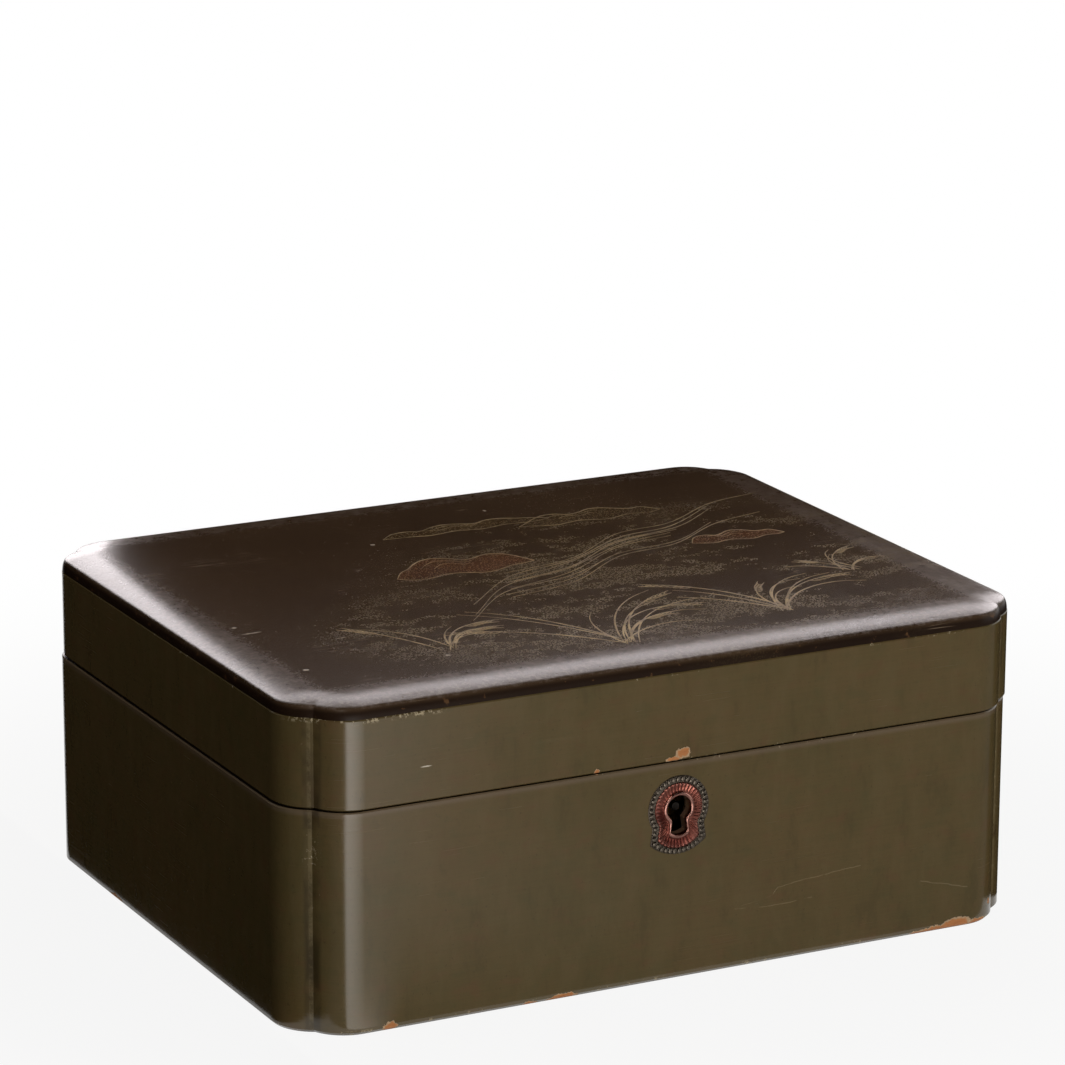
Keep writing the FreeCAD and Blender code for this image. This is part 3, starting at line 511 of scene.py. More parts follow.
FINISHES = {
    "worn_gilt": worn_gilt(),
    "rust_lacquer": dusted("rust_lacquer", paint_of(120, 74, 40), paint_of(168, 130, 72), 0.4),
    "dull_gold_lacquer": dusted("dull_gold_lacquer", paint_of(104, 82, 50), paint_of(170, 142, 92), 0.5),
    "olive_lacquer": olive_lacquer(),
    "brown_lacquer": brown_lacquer("brown_lacquer", 0.5),
    "rolled_edge_lacquer": brown_lacquer("rolled_edge_lacquer", 0.12),
    "underside_lacquer": plain_lacquer("underside_lacquer", paint_of(44, 34, 26), paint_of(58, 44, 32), 0.5),
    "inner_lacquer": dusted("inner_lacquer", paint_of(52, 32, 24), paint_of(170, 128, 62), -0.05),
    "tray_lacquer": dusted("tray_lacquer", paint_of(64, 28, 22), paint_of(176, 130, 62), -0.22, 0.0655),
    "lining_silk": cloth("lining_silk", paint_of(104, 34, 26), paint_of(134, 62, 40)),
    "hinge_brass": aged_metal("hinge_brass", paint_of(176, 140, 80), paint_of(92, 68, 38)),
    "lock_brass": aged_metal("lock_brass", paint_of(168, 132, 74), paint_of(92, 66, 36)),
    "lock_steel": aged_metal("lock_steel", paint_of(58, 54, 51), paint_of(32, 28, 25), 0.45),
    "escutcheon_rim_metal": aged_metal(
        "escutcheon_rim_metal", paint_of(108, 98, 88), paint_of(78, 68, 58), 0.42, 0.006,
        (0.0001, 0.0006, paint_of(134, 124, 112))),
    "escutcheon_copper": aged_metal(
        "escutcheon_copper", paint_of(172, 106, 92), paint_of(118, 62, 54), 0.3, 0.006,
        (0.0003, 0.0009, paint_of(206, 152, 138))),
    "slate": stone_finish(),
    "dropper_glaze": glaze(),
    "pressed_ink": ink_cake(),
    "bamboo": bamboo(),
    "brush_hair": hair(),
}
SLOT_OF = {row["node"]: row["material_slot"] for row in frame["record"]["subparts"]}
BODY_OF = {node: body for body, nodes in frame["record"]["behaviour"]["bodies"].items() for node in nodes}


# Pieces

def shown(name, data):
    """An object of the scene, on the origin."""
    thing = bpy.data.objects.new(name, data)
    bpy.context.scene.collection.objects.link(thing)
    return thing


def bridged(skin, rows):
    """Faces between each ring of vertices and the next."""
    for low, high in zip(rows, rows[1:]):
        for number in range(len(low)):
            after = (number + 1) % len(low)
            skin.faces.new((low[number], low[after], high[after], high[number]))


def walled(skin, patches):
    """Closes thin sheets: each patch is four (above, below) pairs of vertices, in order."""
    used = {}
    for corners in patches:
        skin.faces.new([corner[0] for corner in corners])
        skin.faces.new([corner[1] for corner in reversed(corners)])
        for first, last in zip(corners, corners[1:] + corners[:1]):
            key = frozenset((first[0], last[0]))
            used[key] = None if key in used else (first, last)
    for edge in used.values():
        if edge:
            first, last = edge
            skin.faces.new((first[0], first[1], last[1], last[0]))
    bmesh.ops.remove_doubles(skin, verts=skin.verts, dist=2e-6)
    bmesh.ops.dissolve_degenerate(skin, edges=skin.edges, dist=1e-7)
    bmesh.ops.recalc_face_normals(skin, faces=skin.faces)


def made_piece(name, mesh, node):
    """A finished mesh that stands for a node, on its body and in its finish."""
    if not mesh.materials:
        mesh.materials.append(FINISHES[SLOT_OF[node]])
    piece = shown(name, mesh)
    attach(piece, BODY_OF[node])
    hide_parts(node)
    return piece


def merged_copy(node):
    """The node's mesh as one skin, with its flat faces whole."""
    skin = bmesh.new()
    skin.from_mesh(frame["nodes"][node].data)
    bmesh.ops.remove_doubles(skin, verts=skin.verts, dist=1e-6)
    return skin


def shaded(skin, name, angle=35.0):
    """A mesh from a skin, smooth but for edges sharper than an angle."""
    mesh = bpy.data.meshes.new(name)
    skin.to_mesh(mesh)
    skin.free()
    mesh.shade_smooth()
    mesh.set_sharp_from_angle(angle=math.radians(angle))
    return mesh


ARC_STEPS = 22


def true_arcs(node, shift=0.0):
    """A board or rail whose corner arcs are cut fine and lie on their true circles."""
    skin = merged_copy(node)
    low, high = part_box(node)
    for side in (-1, 1):
        for face in (-1, 1):
            for from_side, from_face, turn in ((ARC_START, ARC_RADIUS, 0), (ARC_RADIUS, ARC_START, 1)):
                axis = Vector((side * (HALF_WIDTH - from_side) + shift, face * (HALF_DEPTH - from_face), 0))
                out = Vector((0, face, 0)) if turn == 0 else Vector((side, 0, 0))
                along = Vector((side, 0, 0)) if turn == 0 else Vector((0, face, 0))

                def polar(point):
                    arm = Vector((point.x, point.y, 0)) - axis
                    return arm.length, math.atan2(arm.dot(along), arm.dot(out))

                if all(polar(one.calc_center_median())[0] >= ARC_RADIUS + 0.004 for one in skin.faces):
                    continue
                for step in range(1, ARC_STEPS):
                    angle = ARC_ANGLE * step / ARC_STEPS
                    edge = out * math.cos(angle) + along * math.sin(angle)
                    normal = edge.cross(Vector((0, 0, 1)))
                    near = [one for one in skin.faces if one.is_valid and
                            min(polar(v.co)[0] for v in one.verts) < ARC_RADIUS + 0.0005 and
                            min((Vector((v.co.x, v.co.y, 0)) - axis).dot(edge)
                                for v in one.verts) < ARC_RADIUS]
                    geometry = set(near)
                    for one in near:
                        geometry.update(one.edges)
                        geometry.update(one.verts)
                    bmesh.ops.bisect_plane(skin, geom=list(geometry), dist=1e-7, plane_co=axis,
                                           plane_no=normal)
                for vertex in skin.verts:
                    reach, angle = polar(vertex.co)
                    bevel = max(0.0, SEAM_BEVEL - (high.z - vertex.co.z))
                    foot = FOOT_BEVEL if low.z < 0.01 else SEAM_BEVEL
                    bevel = max(bevel, foot - (vertex.co.z - low.z))
                    if -1e-4 < angle < ARC_ANGLE + 1e-4 and abs(reach - ARC_RADIUS + bevel) < 0.00015:
                        arm = (Vector((vertex.co.x, vertex.co.y, 0)) - axis) * ((ARC_RADIUS - bevel) / reach)
                        vertex.co = Vector((axis.x + arm.x, axis.y + arm.y, vertex.co.z))
    mesh = bpy.data.meshes.new(node + "_skin")
    skin.to_mesh(mesh)
    skin.free()
    axes = [Vector((side * (HALF_WIDTH - u) + shift, face * (HALF_DEPTH - v), 0))
            for side in (-1, 1) for face in (-1, 1)
            for u, v in ((ARC_START, ARC_RADIUS), (ARC_RADIUS, ARC_START))]
    normals = []
    for polygon in mesh.polygons:
        middle = Vector((polygon.center.x, polygon.center.y, 0))
        axis = min(axes, key=lambda one: abs((middle - one).length - ARC_RADIUS))
        arm = middle - axis
        level = Vector((polygon.normal.x, polygon.normal.y, 0))
        on_arc = (abs(arm.length - ARC_RADIUS) < 0.0012 and level.length > 0.3
                  and arm.dot(level) > 0.99 * arm.length * level.length
                  and max(abs(level.x), abs(level.y)) < 0.9999 * level.length)
        for corner in polygon.vertices:
            if on_arc:
                place = mesh.vertices[corner].co
                out = (Vector((place.x, place.y, 0)) - axis).normalized() * level.length
                normals.append((out.x, out.y, polygon.normal.z))
            else:
                normals.append(tuple(polygon.normal))
    mesh.shade_smooth()
    mesh.normals_split_custom_set(normals)
    return mesh


for side in ("front", "right", "back", "left"):
    made_piece(f"{side}_board_skin", true_arcs(f"{side}_board"), f"{side}_board")
    made_piece(f"lid_{side}_rail_skin", true_arcs(f"lid_{side}_rail", LID_SHIFT), f"lid_{side}_rail")


def notched_ring(inset, steps=16, straight=26):
    """Points round the notched outline, drawn in by an inset."""
    def run(start, end):
        return [(start[0] + (end[0] - start[0]) * k / straight,
                 start[1] + (end[1] - start[1]) * k / straight) for k in range(1, straight)]

    reach = ARC_RADIUS - inset
    path = []
    for step in range(steps + 1):
        turn = ARC_ANGLE * step / steps
        path.append((ARC_START - reach * math.sin(turn), ARC_RADIUS - reach * math.cos(turn)))
    for step in (1, 2):
        turn = ARC_ANGLE + (math.pi / 4 - ARC_ANGLE) * step / 2
        path.append((NOTCH_DEPTH + inset * math.sin(turn), NOTCH_DEPTH + inset * math.cos(turn)))
    path += [(v, u) for u, v in reversed(path[:-1])]
    ring = []
    for side, face, flip in ((1, -1, False), (1, 1, True), (-1, 1, False), (-1, -1, True)):
        points = [(side * (HALF_WIDTH - u), face * (HALF_DEPTH - v)) for u, v in path]
        if flip:
            points.reverse()
        if ring:
            ring += run(ring[-1], points[0])
        ring += points
    return ring + run(ring[-1], ring[0])


EDGE_START, EDGE_INSET, EDGE_HEIGHT, EDGE_ROLL = 0.00015, 0.0012, 0.0034, math.radians(75)
SHOULDER_WIDTH, SHOULDER_RISE, CROWN_RISE = 0.012, 0.0019, 0.00095
ROLL_STEPS, SHOULDER_STEPS, CROWN_STEPS = 8, 14, 12


def crown_height(x, y):
    """Height of the lid's flat middle over the rails' top edge."""
    across = min(1.0, abs(x) / (HALF_WIDTH - SHOULDER_WIDTH))
    along = min(1.0, abs(y) / (HALF_DEPTH - SHOULDER_WIDTH))
    return EDGE_HEIGHT + SHOULDER_RISE + CROWN_RISE * (1 - across ** 2) * (1 - along ** 2)


def lid_top_mesh():
    """The domed top: rolled edge, soft shoulder and faint crown, swept round the notched outline."""
    rings = []
    for step in range(ROLL_STEPS + 1):
        turn = EDGE_ROLL * step / ROLL_STEPS
        inset = EDGE_START + (EDGE_INSET - EDGE_START) * (1 - math.cos(turn)) / (1 - math.cos(EDGE_ROLL))
        rise = EDGE_HEIGHT * math.sin(turn) / math.sin(EDGE_ROLL)
        rings.append([(x, y, rise) for x, y in notched_ring(inset)])
    for step in range(1, SHOULDER_STEPS + 1):
        share = step / SHOULDER_STEPS
        inset = EDGE_INSET + (SHOULDER_WIDTH - EDGE_INSET) * share
        rise = EDGE_HEIGHT + SHOULDER_RISE * (1 - (1 - share) ** 2)
        rings.append([(x, y, rise) for x, y in notched_ring(inset)])
    last = rings[-1]
    spine = HALF_WIDTH - HALF_DEPTH
    for step in range(1, CROWN_STEPS + 1):
        share = step / CROWN_STEPS
        ring = []
        for x, y, _ in last:
            px = x + (max(-spine, min(spine, x)) - x) * share
            py = y * (1 - share)
            ring.append((px, py, crown_height(px, py)))
        rings.append(ring)
    skin = bmesh.new()
    rows = [[skin.verts.new((x + LID_SHIFT, y, LID_SIDE_TOP + z)) for x, y, z in ring] for ring in rings]
    bridged(skin, rows)
    skin.faces.new(list(reversed(rows[0])))
    bmesh.ops.remove_doubles(skin, verts=skin.verts, dist=1e-6)
    bmesh.ops.dissolve_degenerate(skin, edges=skin.edges, dist=1e-7)
    bmesh.ops.recalc_face_normals(skin, faces=skin.faces)
    for face in skin.faces:
        middle = face.calc_center_median()
        face.material_index = int(LID_SIDE_TOP + 0.0001 < middle.z < LID_SIDE_TOP + EDGE_HEIGHT)
    mesh = shaded(skin, "lid_top_dome", 50)
    mesh.materials.append(FINISHES["brown_lacquer"])
    mesh.materials.append(FINISHES["rolled_edge_lacquer"])
    return mesh


made_piece("lid_top_dome", lid_top_mesh(), "lid_top")


class Shaper:
    """A geometry node tree with named sizes."""

    def __init__(self, name):
        self.tree = bpy.data.node_groups.new(name, "GeometryNodeTree")
        self.inlet = self.tree.nodes.new("NodeGroupInput")
        self.outlet = self.tree.nodes.new("NodeGroupOutput")
        self.tree.interface.new_socket("Shape", in_out="INPUT", socket_type="NodeSocketGeometry")
        self.tree.interface.new_socket("Shape", in_out="OUTPUT", socket_type="NodeSocketGeometry")
        self.sizes = {}

    def size(self, name, value, kind="NodeSocketFloat"):
        """A named input of the tree with the value it is used at."""
        socket = self.tree.interface.new_socket(name, in_out="INPUT", socket_type=kind)
        self.sizes[socket.identifier] = value
        return self.inlet.outputs[name]

    @property
    def shape(self):
        return self.inlet.outputs["Shape"]

    def node(self, kind, settings=None, inputs=None, output=0):
        made = self.tree.nodes.new(kind)
        for label, value in (settings or {}).items():
            setattr(made, label, value)
        for label, value in (inputs or {}).items():
            if isinstance(value, bpy.types.NodeSocket):
                self.tree.links.new(value, made.inputs[label])
            else:
                made.inputs[label].default_value = value
        return made.outputs[output]

    def applied(self, mesh, shape, finish):
        """The plain mesh that the tree makes from a mesh, with its instances made real."""
        real = self.node("GeometryNodeRealizeInstances", None, {0: shape})
        real = self.node("GeometryNodeSetMaterial", None, {0: real, "Material": finish})
        self.tree.links.new(real, self.outlet.inputs[0])
        holder = shown("holder", mesh)
        modifier = holder.modifiers.new("shaper", "NODES")
        modifier.node_group = self.tree
        for identifier, value in self.sizes.items():
            modifier[identifier] = value
        graph = bpy.context.evaluated_depsgraph_get()
        made = bpy.data.meshes.new_from_object(holder.evaluated_get(graph), depsgraph=graph)
        bpy.data.objects.remove(holder)
        return made


# Escutcheon

def keyhole_line(radius, waist, foot, foot_drop, bottom, soft=0.7):
    """A dense keyhole outline round the drill pin with softened corners, in millimetres."""
    drop = math.asin(math.sqrt(radius ** 2 - waist ** 2) / radius)
    turns = np.linspace(-drop, math.pi + drop, 400)
    head = np.stack([radius * np.cos(turns), radius * np.sin(turns)], 1)
    sag = bottom - foot_drop
    bow = (foot ** 2 + sag ** 2) / (2 * sag)
    spread = math.asin(foot / bow)
    turns = np.linspace(-math.pi / 2 - spread, -math.pi / 2 + spread, 120)
    base = np.stack([bow * np.cos(turns), bow - bottom + bow * np.sin(turns)], 1)
    ring = np.concatenate([head, base, head[:1]])
    steps = np.concatenate([[0], np.cumsum(np.linalg.norm(np.diff(ring, axis=0), axis=1))])
    even = np.linspace(0, steps[-1], 1441)[:-1]
    line = np.stack([np.interp(even, steps, ring[:, 0]), np.interp(even, steps, ring[:, 1])], 1)
    span = int(soft / steps[-1] * 1440)
    return sum(np.roll(line, shift, axis=0) for shift in range(-span, span + 1)) / (2 * span + 1)


HOLE = keyhole_line(4.05, 2.2, 2.9, 7.2, 8.2)
RING = keyhole_line(8.1, 6.4, 7.2, 9.4, 12.6)
RIM = keyhole_line(10.35, 8.8, 9.6, 10.6, 14.4)
HUB = np.array([0.0, -2.0])


def on_line(line, angles):
    """Points of an outline in the given directions from the hub."""
    arms = line - HUB
    turns = np.arctan2(arms[:, 1], arms[:, 0])
    order = np.argsort(turns)
    reach = np.interp(angles, turns[order], np.linalg.norm(arms, axis=1)[order], period=2 * math.pi)
    return HUB + np.stack([reach * np.cos(angles), reach * np.sin(angles)], 1)


def band_mesh(name, inner, outer, sections, count):
    """A closed band between two outlines; sections give (share across, height) for each station."""
    arms = outer - HUB
    picks = np.linspace(0, len(outer), count, endpoint=False).astype(int)
    angles = np.arctan2(arms[picks, 1], arms[picks, 0])
    inside, outside = on_line(inner, angles), outer[picks]
    skin = bmesh.new()
    rows = []
    for across, height in sections(count, np.linalg.norm(outside - inside, axis=1)):
        points = inside + (outside - inside) * across[:, None]
        rows.append([skin.verts.new((x * MM, -HALF_DEPTH - h * MM, KEY_HEIGHT + z * MM))
                     for (x, z), h in zip(points, height)])
    bridged(skin, rows + rows[:1])
    bmesh.ops.recalc_face_normals(skin, faces=skin.faces)
    return shaded(skin, name, 75)


FLUTES = 46
BEADS = 44


def fluted_sections(count, width):
    """The inner ring: a round lip at the hole, then flutes that swell towards the rim."""
    wave = 0.5 + 0.5 * np.cos(np.arange(count) * 2 * math.pi * FLUTES / count)
    one = np.ones(count)
    yield 0 * one, -0.6 * one
    lip = 1.25 / width
    for step in range(0, 9):
        turn = math.pi * step / 8
        yield lip * (0.5 - 0.5 * math.cos(turn)), (0.2 + 0.72 * math.sin(turn) ** 0.8) * one
    for step in range(1, 13):
        share = step / 12
        swell = 0.18 + 0.5 * share ** 1.4
        if share > 0.85:
            swell -= 0.35 * ((share - 0.85) / 0.15) ** 2
        cut = 0.30 * min(1.0, share / 0.35) * (1 - 0.35 * share)
        yield lip + (0.995 - lip) * share, swell - cut * (1 - wave)
    yield 0.995 * one, -0.6 * one


def rim_sections(count, width):
    """The outer rim: a shallow trough for the beads between two fine lips."""
    one = np.ones(count)
    for share, height in ((0.01, -0.6), (0.01, 0.2), (0.05, 0.34), (0.12, 0.36), (0.2, 0.28), (0.5, 0.24),
                          (0.8, 0.24), (0.88, 0.26), (0.94, 0.24), (0.985, 0.14), (1.0, 0.0), (1.0, -0.6)):
        yield share * one, height * one


made_piece("escutcheon_fluted_ring",
           band_mesh("escutcheon_fluted_ring", HOLE, RING, fluted_sections, FLUTES * 10), "escutcheon_ring")
made_piece("escutcheon_trough", band_mesh("escutcheon_trough", RING, RIM, rim_sections, 360),
           "escutcheon_rim")

middle_line = bpy.data.meshes.new("bead_line")
arms = RIM - HUB
middle_points = (RIM + on_line(RING, np.arctan2(arms[:, 1], arms[:, 0]))) / 2
middle_line.from_pydata(
    [(x * MM, -HALF_DEPTH - 0.4 * MM, KEY_HEIGHT + z * MM) for x, z in middle_points[::4]],
    [(k, (k + 1) % 360) for k in range(360)], [])
beads = Shaper("beads")
bead_count = beads.size("Bead Count", BEADS, "NodeSocketInt")
bead_radius = beads.size("Bead Radius", 0.00060)
row = beads.node("GeometryNodeMeshToCurve", None, {0: beads.shape})
row = beads.node("GeometryNodeResampleCurve", None, {"Curve": row, "Count": bead_count})
bead = beads.node("GeometryNodeMeshIcoSphere", None, {"Radius": bead_radius, "Subdivisions": 3})
bead = beads.node("GeometryNodeSetShadeSmooth", None, {0: bead})
turn = beads.node("FunctionNodeAlignRotationToVector", {"axis": "Z"},
                  {"Vector": beads.node("GeometryNodeInputTangent")})
row = beads.node("GeometryNodeInstanceOnPoints", None, {
    "Points": row, "Instance": bead, "Rotation": turn, "Scale": (1.5, 0.62, 1.12)})
made_piece("escutcheon_beads", beads.applied(middle_line, row, FINISHES["escutcheon_rim_metal"]),
           "escutcheon_rim")


# Gilt drawing on the lid: a stream, reeds and banks of mist

def on_lid(x, y, lift=0.02):
    """A point of the lid's top over a place given in millimetres."""
    x, y = x * MM, y * MM
    return (x + LID_SHIFT, y, LID_SIDE_TOP + crown_height(x, y) + lift * MM)


def curved(points, steps=9):
    """A smooth line through points."""
    points = [np.array(point, float) for point in points]
    ends = [2 * points[0] - points[1]] + points + [2 * points[-1] - points[-2]]
    line = []
    for a, b, c, d in zip(ends, ends[1:], ends[2:], ends[3:]):
        for t in np.linspace(0, 1, steps, endpoint=False):
            line.append(0.5 * (2 * b + (c - a) * t + (2 * a - 5 * b + 4 * c - d) * t ** 2
                               + (3 * b - a - 3 * c + d) * t ** 3))
    return np.array(line + [points[-1]])


class Drawing:
    """Thin raised strokes and fields on the lid, closed underneath."""

    def __init__(self):
        self.skin = bmesh.new()
        self.patches = []

    def vertex(self, x, y, lift):
        return self.skin.verts.new(on_lid(x, y, lift))

    def stroke(self, points, width, tip=0.3):
        """A brush stroke that thins to a share of its width at the end."""
        line = curved(points)
        ways = np.gradient(line, axis=0)
        ways /= np.linalg.norm(ways, axis=1)[:, None]
        rows = []
        for number, ((x, y), (wx, wy)) in enumerate(zip(line, ways)):
            share = number / (len(line) - 1)
            half = width / 2 * (1 - (1 - tip) * share ** 1.5) * (0.4 + 0.6 * min(1.0, share / 0.25))
            section = ((half, -0.04), (half * 0.7, 0.05), (-half * 0.7, 0.05), (-half, -0.04))
            rows.append([self.vertex(x - wy * reach, y + wx * reach, lift) for reach, lift in section])
        bridged(self.skin, rows)
        self.skin.faces.new(reversed(rows[0]))
        self.skin.faces.new(rows[-1])

    def field(self, lower, upper, rows=6):
        """A filled patch between two lines."""
        low, high = curved(lower, 6), curved(upper, 6)
        count = min(len(low), len(high))
        low = low[np.linspace(0, len(low) - 1, count).astype(int)]
        high = high[np.linspace(0, len(high) - 1, count).astype(int)]
        grid = []
        for first, last in zip(low, high):
            points = [first + (last - first) * row / rows for row in range(rows + 1)]
            grid.append([(self.vertex(x, y, 0.025), self.vertex(x, y, -0.04)) for x, y in points])
        for near, far in zip(grid, grid[1:]):
            for row in range(rows):
                self.patches.append([near[row], far[row], far[row + 1], near[row + 1]])

    def piece(self, name, finish):
        walled(self.skin, self.patches)
        mesh = shaded(self.skin, name, 60)
        mesh.materials.append(finish)
        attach(shown(name, mesh), "lid")


def reed(root, lean, bend, length):
    """A blade that leaves its root at a lean and bends over more and more."""
    line = [np.array(root, float)]
    for step in range(1, 7):
        heading = lean + bend * (step / 6) ** 1.7
        line.append(line[-1] + length / 6 * np.array([math.sin(heading), math.cos(heading)]))
    return line


def drawing():
    """The stream, the banks and the reeds, from one run of random numbers."""
    chance = np.random.default_rng(11)
    gilt, rust, mist = Drawing(), Drawing(), Drawing()

    # Stream: long lines side by side, some broken off
    course = np.array([(106, 40), (84, 34), (62, 18), (38, 12), (12, -6), (-14, -14), (-38, -36), (-66, -44)],
                      float)
    for number in range(9):
        line = course + np.array([0.5, 1.0]) * (number - 4) * 2.9 + chance.normal(0, 0.7, course.shape)
        first = int(chance.integers(0, 4))
        last = int(min(len(course), first + chance.integers(4, 7)))
        gilt.stroke(line[first:last], chance.uniform(0.35, 0.6), 0.4)

    # Banks: rust-brown and dull gold hills with an ochre edge
    for cx, cy, wide, deep, lumps, fill in ((-18, 8, 24, 17, 3.1, rust), (46, 46, 26, 11, 4.3, mist),
                                            (78, 4, 17, 9, 3.7, rust), (4, 52, 30, 8, 5.0, mist)):
        shares = np.linspace(-1, 1, 13)
        cap = np.sqrt(np.clip(1 - shares ** 2, 0, 1))
        upper = [(cx + wide * u, cy + deep * c * (0.55 + 0.45 * abs(math.cos(lumps * u + cx))))
                 for u, c in zip(shares, cap)]
        lower = [(cx + wide * u, cy - deep * 0.22 * c * (1 + 0.5 * math.sin(2 * lumps * u)))
                 for u, c in zip(shares, cap)]
        fill.field(lower, upper)
        gilt.stroke(upper, 0.75, 0.85)
        gilt.stroke(lower, 0.45, 0.6)
        for inner in (0.78, 0.55):
            gilt.stroke([(cx + (x - cx) * inner, cy + (y - cy) * inner) for x, y in upper[2:9]], 0.35, 0.3)

    # Reeds: clumps of blades bowed by the wind, some with drooping heads
    for root, blades, reach in (((-8, -82), 12, 60), ((52, -74), 10, 52), ((92, -44), 7, 34),
                                ((-58, -64), 8, 36)):
        for number in range(blades):
            start = (root[0] + chance.normal(0, 1.6), root[1] + chance.normal(0, 0.8))
            windward = number % 4 == 0
            lean = chance.normal(-0.5 if windward else 0.25, 0.3)
            bend = -chance.uniform(0.3, 0.9) if windward else chance.uniform(0.7, 1.7)
            line = reed(start, lean, bend, reach * chance.uniform(0.5, 1.0))
            while any(abs(x) > 111 or y < -86 for x, y in line) and len(line) > 3:
                line.pop()
            gilt.stroke(line, chance.uniform(0.7, 1.0), 0.15)
            if number % 3 == 1 and len(line) == 7:
                for seed in range(14):
                    share = 4.2 + 1.8 * seed / 14
                    base = line[int(share)] + (line[min(6, int(share) + 1)] - line[int(share)]) * (share % 1)
                    ahead = line[6] - line[5]
                    ahead = ahead / np.linalg.norm(ahead)
                    aside = np.array([-ahead[1], ahead[0]]) * (1 if seed % 2 else -1)
                    gilt.stroke([base, base + ahead * 1.4 + aside * 0.9, base + ahead * 3.4 + aside * 1.1],
                                0.5, 0.3)
    gilt.piece("lid_gilt_strokes", FINISHES["worn_gilt"])
    rust.piece("lid_rust_banks", FINISHES["rust_lacquer"])
    mist.piece("lid_mist_banks", FINISHES["dull_gold_lacquer"])


drawing()


# Woodwork and metalwork with their edges eased

def softened(node, width, steps=2):
    """A node's shape as one skin with its sharp edges rounded."""
    skin = merged_copy(node)
    bmesh.ops.dissolve_limit(skin, angle_limit=math.radians(0.5), verts=skin.verts, edges=skin.edges)
    sharp = [edge for edge in skin.edges if len(edge.link_faces) == 2
             and edge.calc_face_angle() > math.radians(32)]
    bmesh.ops.bevel(skin, geom=sharp, offset=width, offset_type="OFFSET", segments=steps, profile=0.5,
                    affect="EDGES", clamp_overlap=True)
    bmesh.ops.triangulate(skin, faces=[face for face in skin.faces if len(face.verts) > 4])
    made_piece(node + "_eased", shaded(skin, node + "_eased", 40), node)


# The nodes that are rounded, by the width of the rounding in metres
EASED = {
    0.0006: ("tray_front_wall", "tray_back_wall", "tray_left_wall", "tray_right_wall", "tray_left_divider",
             "tray_right_divider", "tray_floor", "brush_rest_front", "brush_rest_back", "lining_front",
             "lining_back", "lining_left", "lining_right", "post_front_left", "post_front_right",
             "post_back_left", "post_back_right", "lid_glue_blocks"),
    0.0003: ("bottom_board",),
    0.00015: ("hinge_left_box_leaf", "hinge_right_box_leaf", "hinge_left_lid_leaf", "hinge_right_lid_leaf",
              "link_plate", "lock_plate", "lock_bolt", "lock_cap", "hinge_left_pin", "hinge_right_pin"),
    0.0011: ("water_dropper",),
    0.0009: ("ink_stone",),
    0.0005: ("ink_stick",),
}
for width, eased_nodes in EASED.items():
    for node in eased_nodes:
        softened(node, width, 2 if width < 0.0008 else 3)


# Screws

def slotted_screw():
    """A countersunk screw on the origin, its head up and its slot along x."""
    radius, shank, head, length, half_slot, slot_depth = 1.6, 0.8, 0.8, 5.5, 0.2, 0.35
    skin = bmesh.new()

    def vertex(x, y, z):
        return skin.verts.new((x * MM, y * MM, z * MM))

    tilt = math.asin(half_slot / (radius - 0.1))
    arcs = [np.linspace(tilt, math.pi - tilt, 12), np.linspace(math.pi + tilt, 2 * math.pi - tilt, 12)]
    top, deep = [], []
    for arc in arcs:
        top.append([vertex((radius - 0.1) * math.cos(t), (radius - 0.1) * math.sin(t), -0.02) for t in arc])
        deep.append([vertex(radius * 0.96 * math.cos(t), radius * 0.96 * math.sin(t), -slot_depth)
                     for t in arc])
        skin.faces.new(top[-1])
        for number in range(11):
            skin.faces.new((deep[-1][number], deep[-1][number + 1], top[-1][number + 1], top[-1][number]))
        skin.faces.new((top[-1][0], top[-1][-1], deep[-1][-1], deep[-1][0]))
    skin.faces.new((deep[0][0], deep[0][-1], deep[1][0], deep[1][-1]))
    ring = deep[0] + deep[1]
    for reach, z in ((shank, -head - 0.1), (shank, 1.4 - length), (0.1, -length)):
        turns = list(arcs[0]) + list(arcs[1])
        below = [vertex(reach * math.cos(t), reach * math.sin(t), z) for t in turns]
        bridged(skin, [below, ring])
        ring = below
    skin.faces.new(list(reversed(ring)))
    bmesh.ops.recalc_face_normals(skin, faces=skin.faces)
    return shaded(skin, "slotted_screw", 30)


def screws(node, places, tilt, finish):
    """The node's screws: one slotted screw on each place, with its slot turned at random."""
    pattern = bpy.data.objects.new("screw_pattern", slotted_screw())
    rows = bpy.data.meshes.new("screw_places")
    rows.from_pydata([tuple(value * MM for value in place) for place in places], [], [])
    tree = Shaper("screws")
    slot_turn = tree.size("Largest Slot Turn", (0.0, 0.0, 3.1), "NodeSocketVector")
    seed = tree.size("Seed", 5, "NodeSocketInt")
    screw = tree.node("GeometryNodeObjectInfo", None, {"Object": pattern}, "Geometry")
    row = tree.node("GeometryNodeInstanceOnPoints", None, {
        "Points": tree.shape, "Instance": screw,
        "Rotation": tree.node("FunctionNodeEulerToRotation", None, {0: tilt})})
    turn = tree.node("FunctionNodeRandomValue", {"data_type": "FLOAT_VECTOR"},
                     {0: (0, 0, 0), 1: slot_turn, "Seed": seed})
    row = tree.node("GeometryNodeRotateInstances", None, {
        "Instances": row, "Rotation": tree.node("FunctionNodeEulerToRotation", None, {0: turn}),
        "Local Space": True})
    made_piece(node + "_slotted", tree.applied(rows, row, FINISHES[finish]), node)
    bpy.data.objects.remove(pattern)


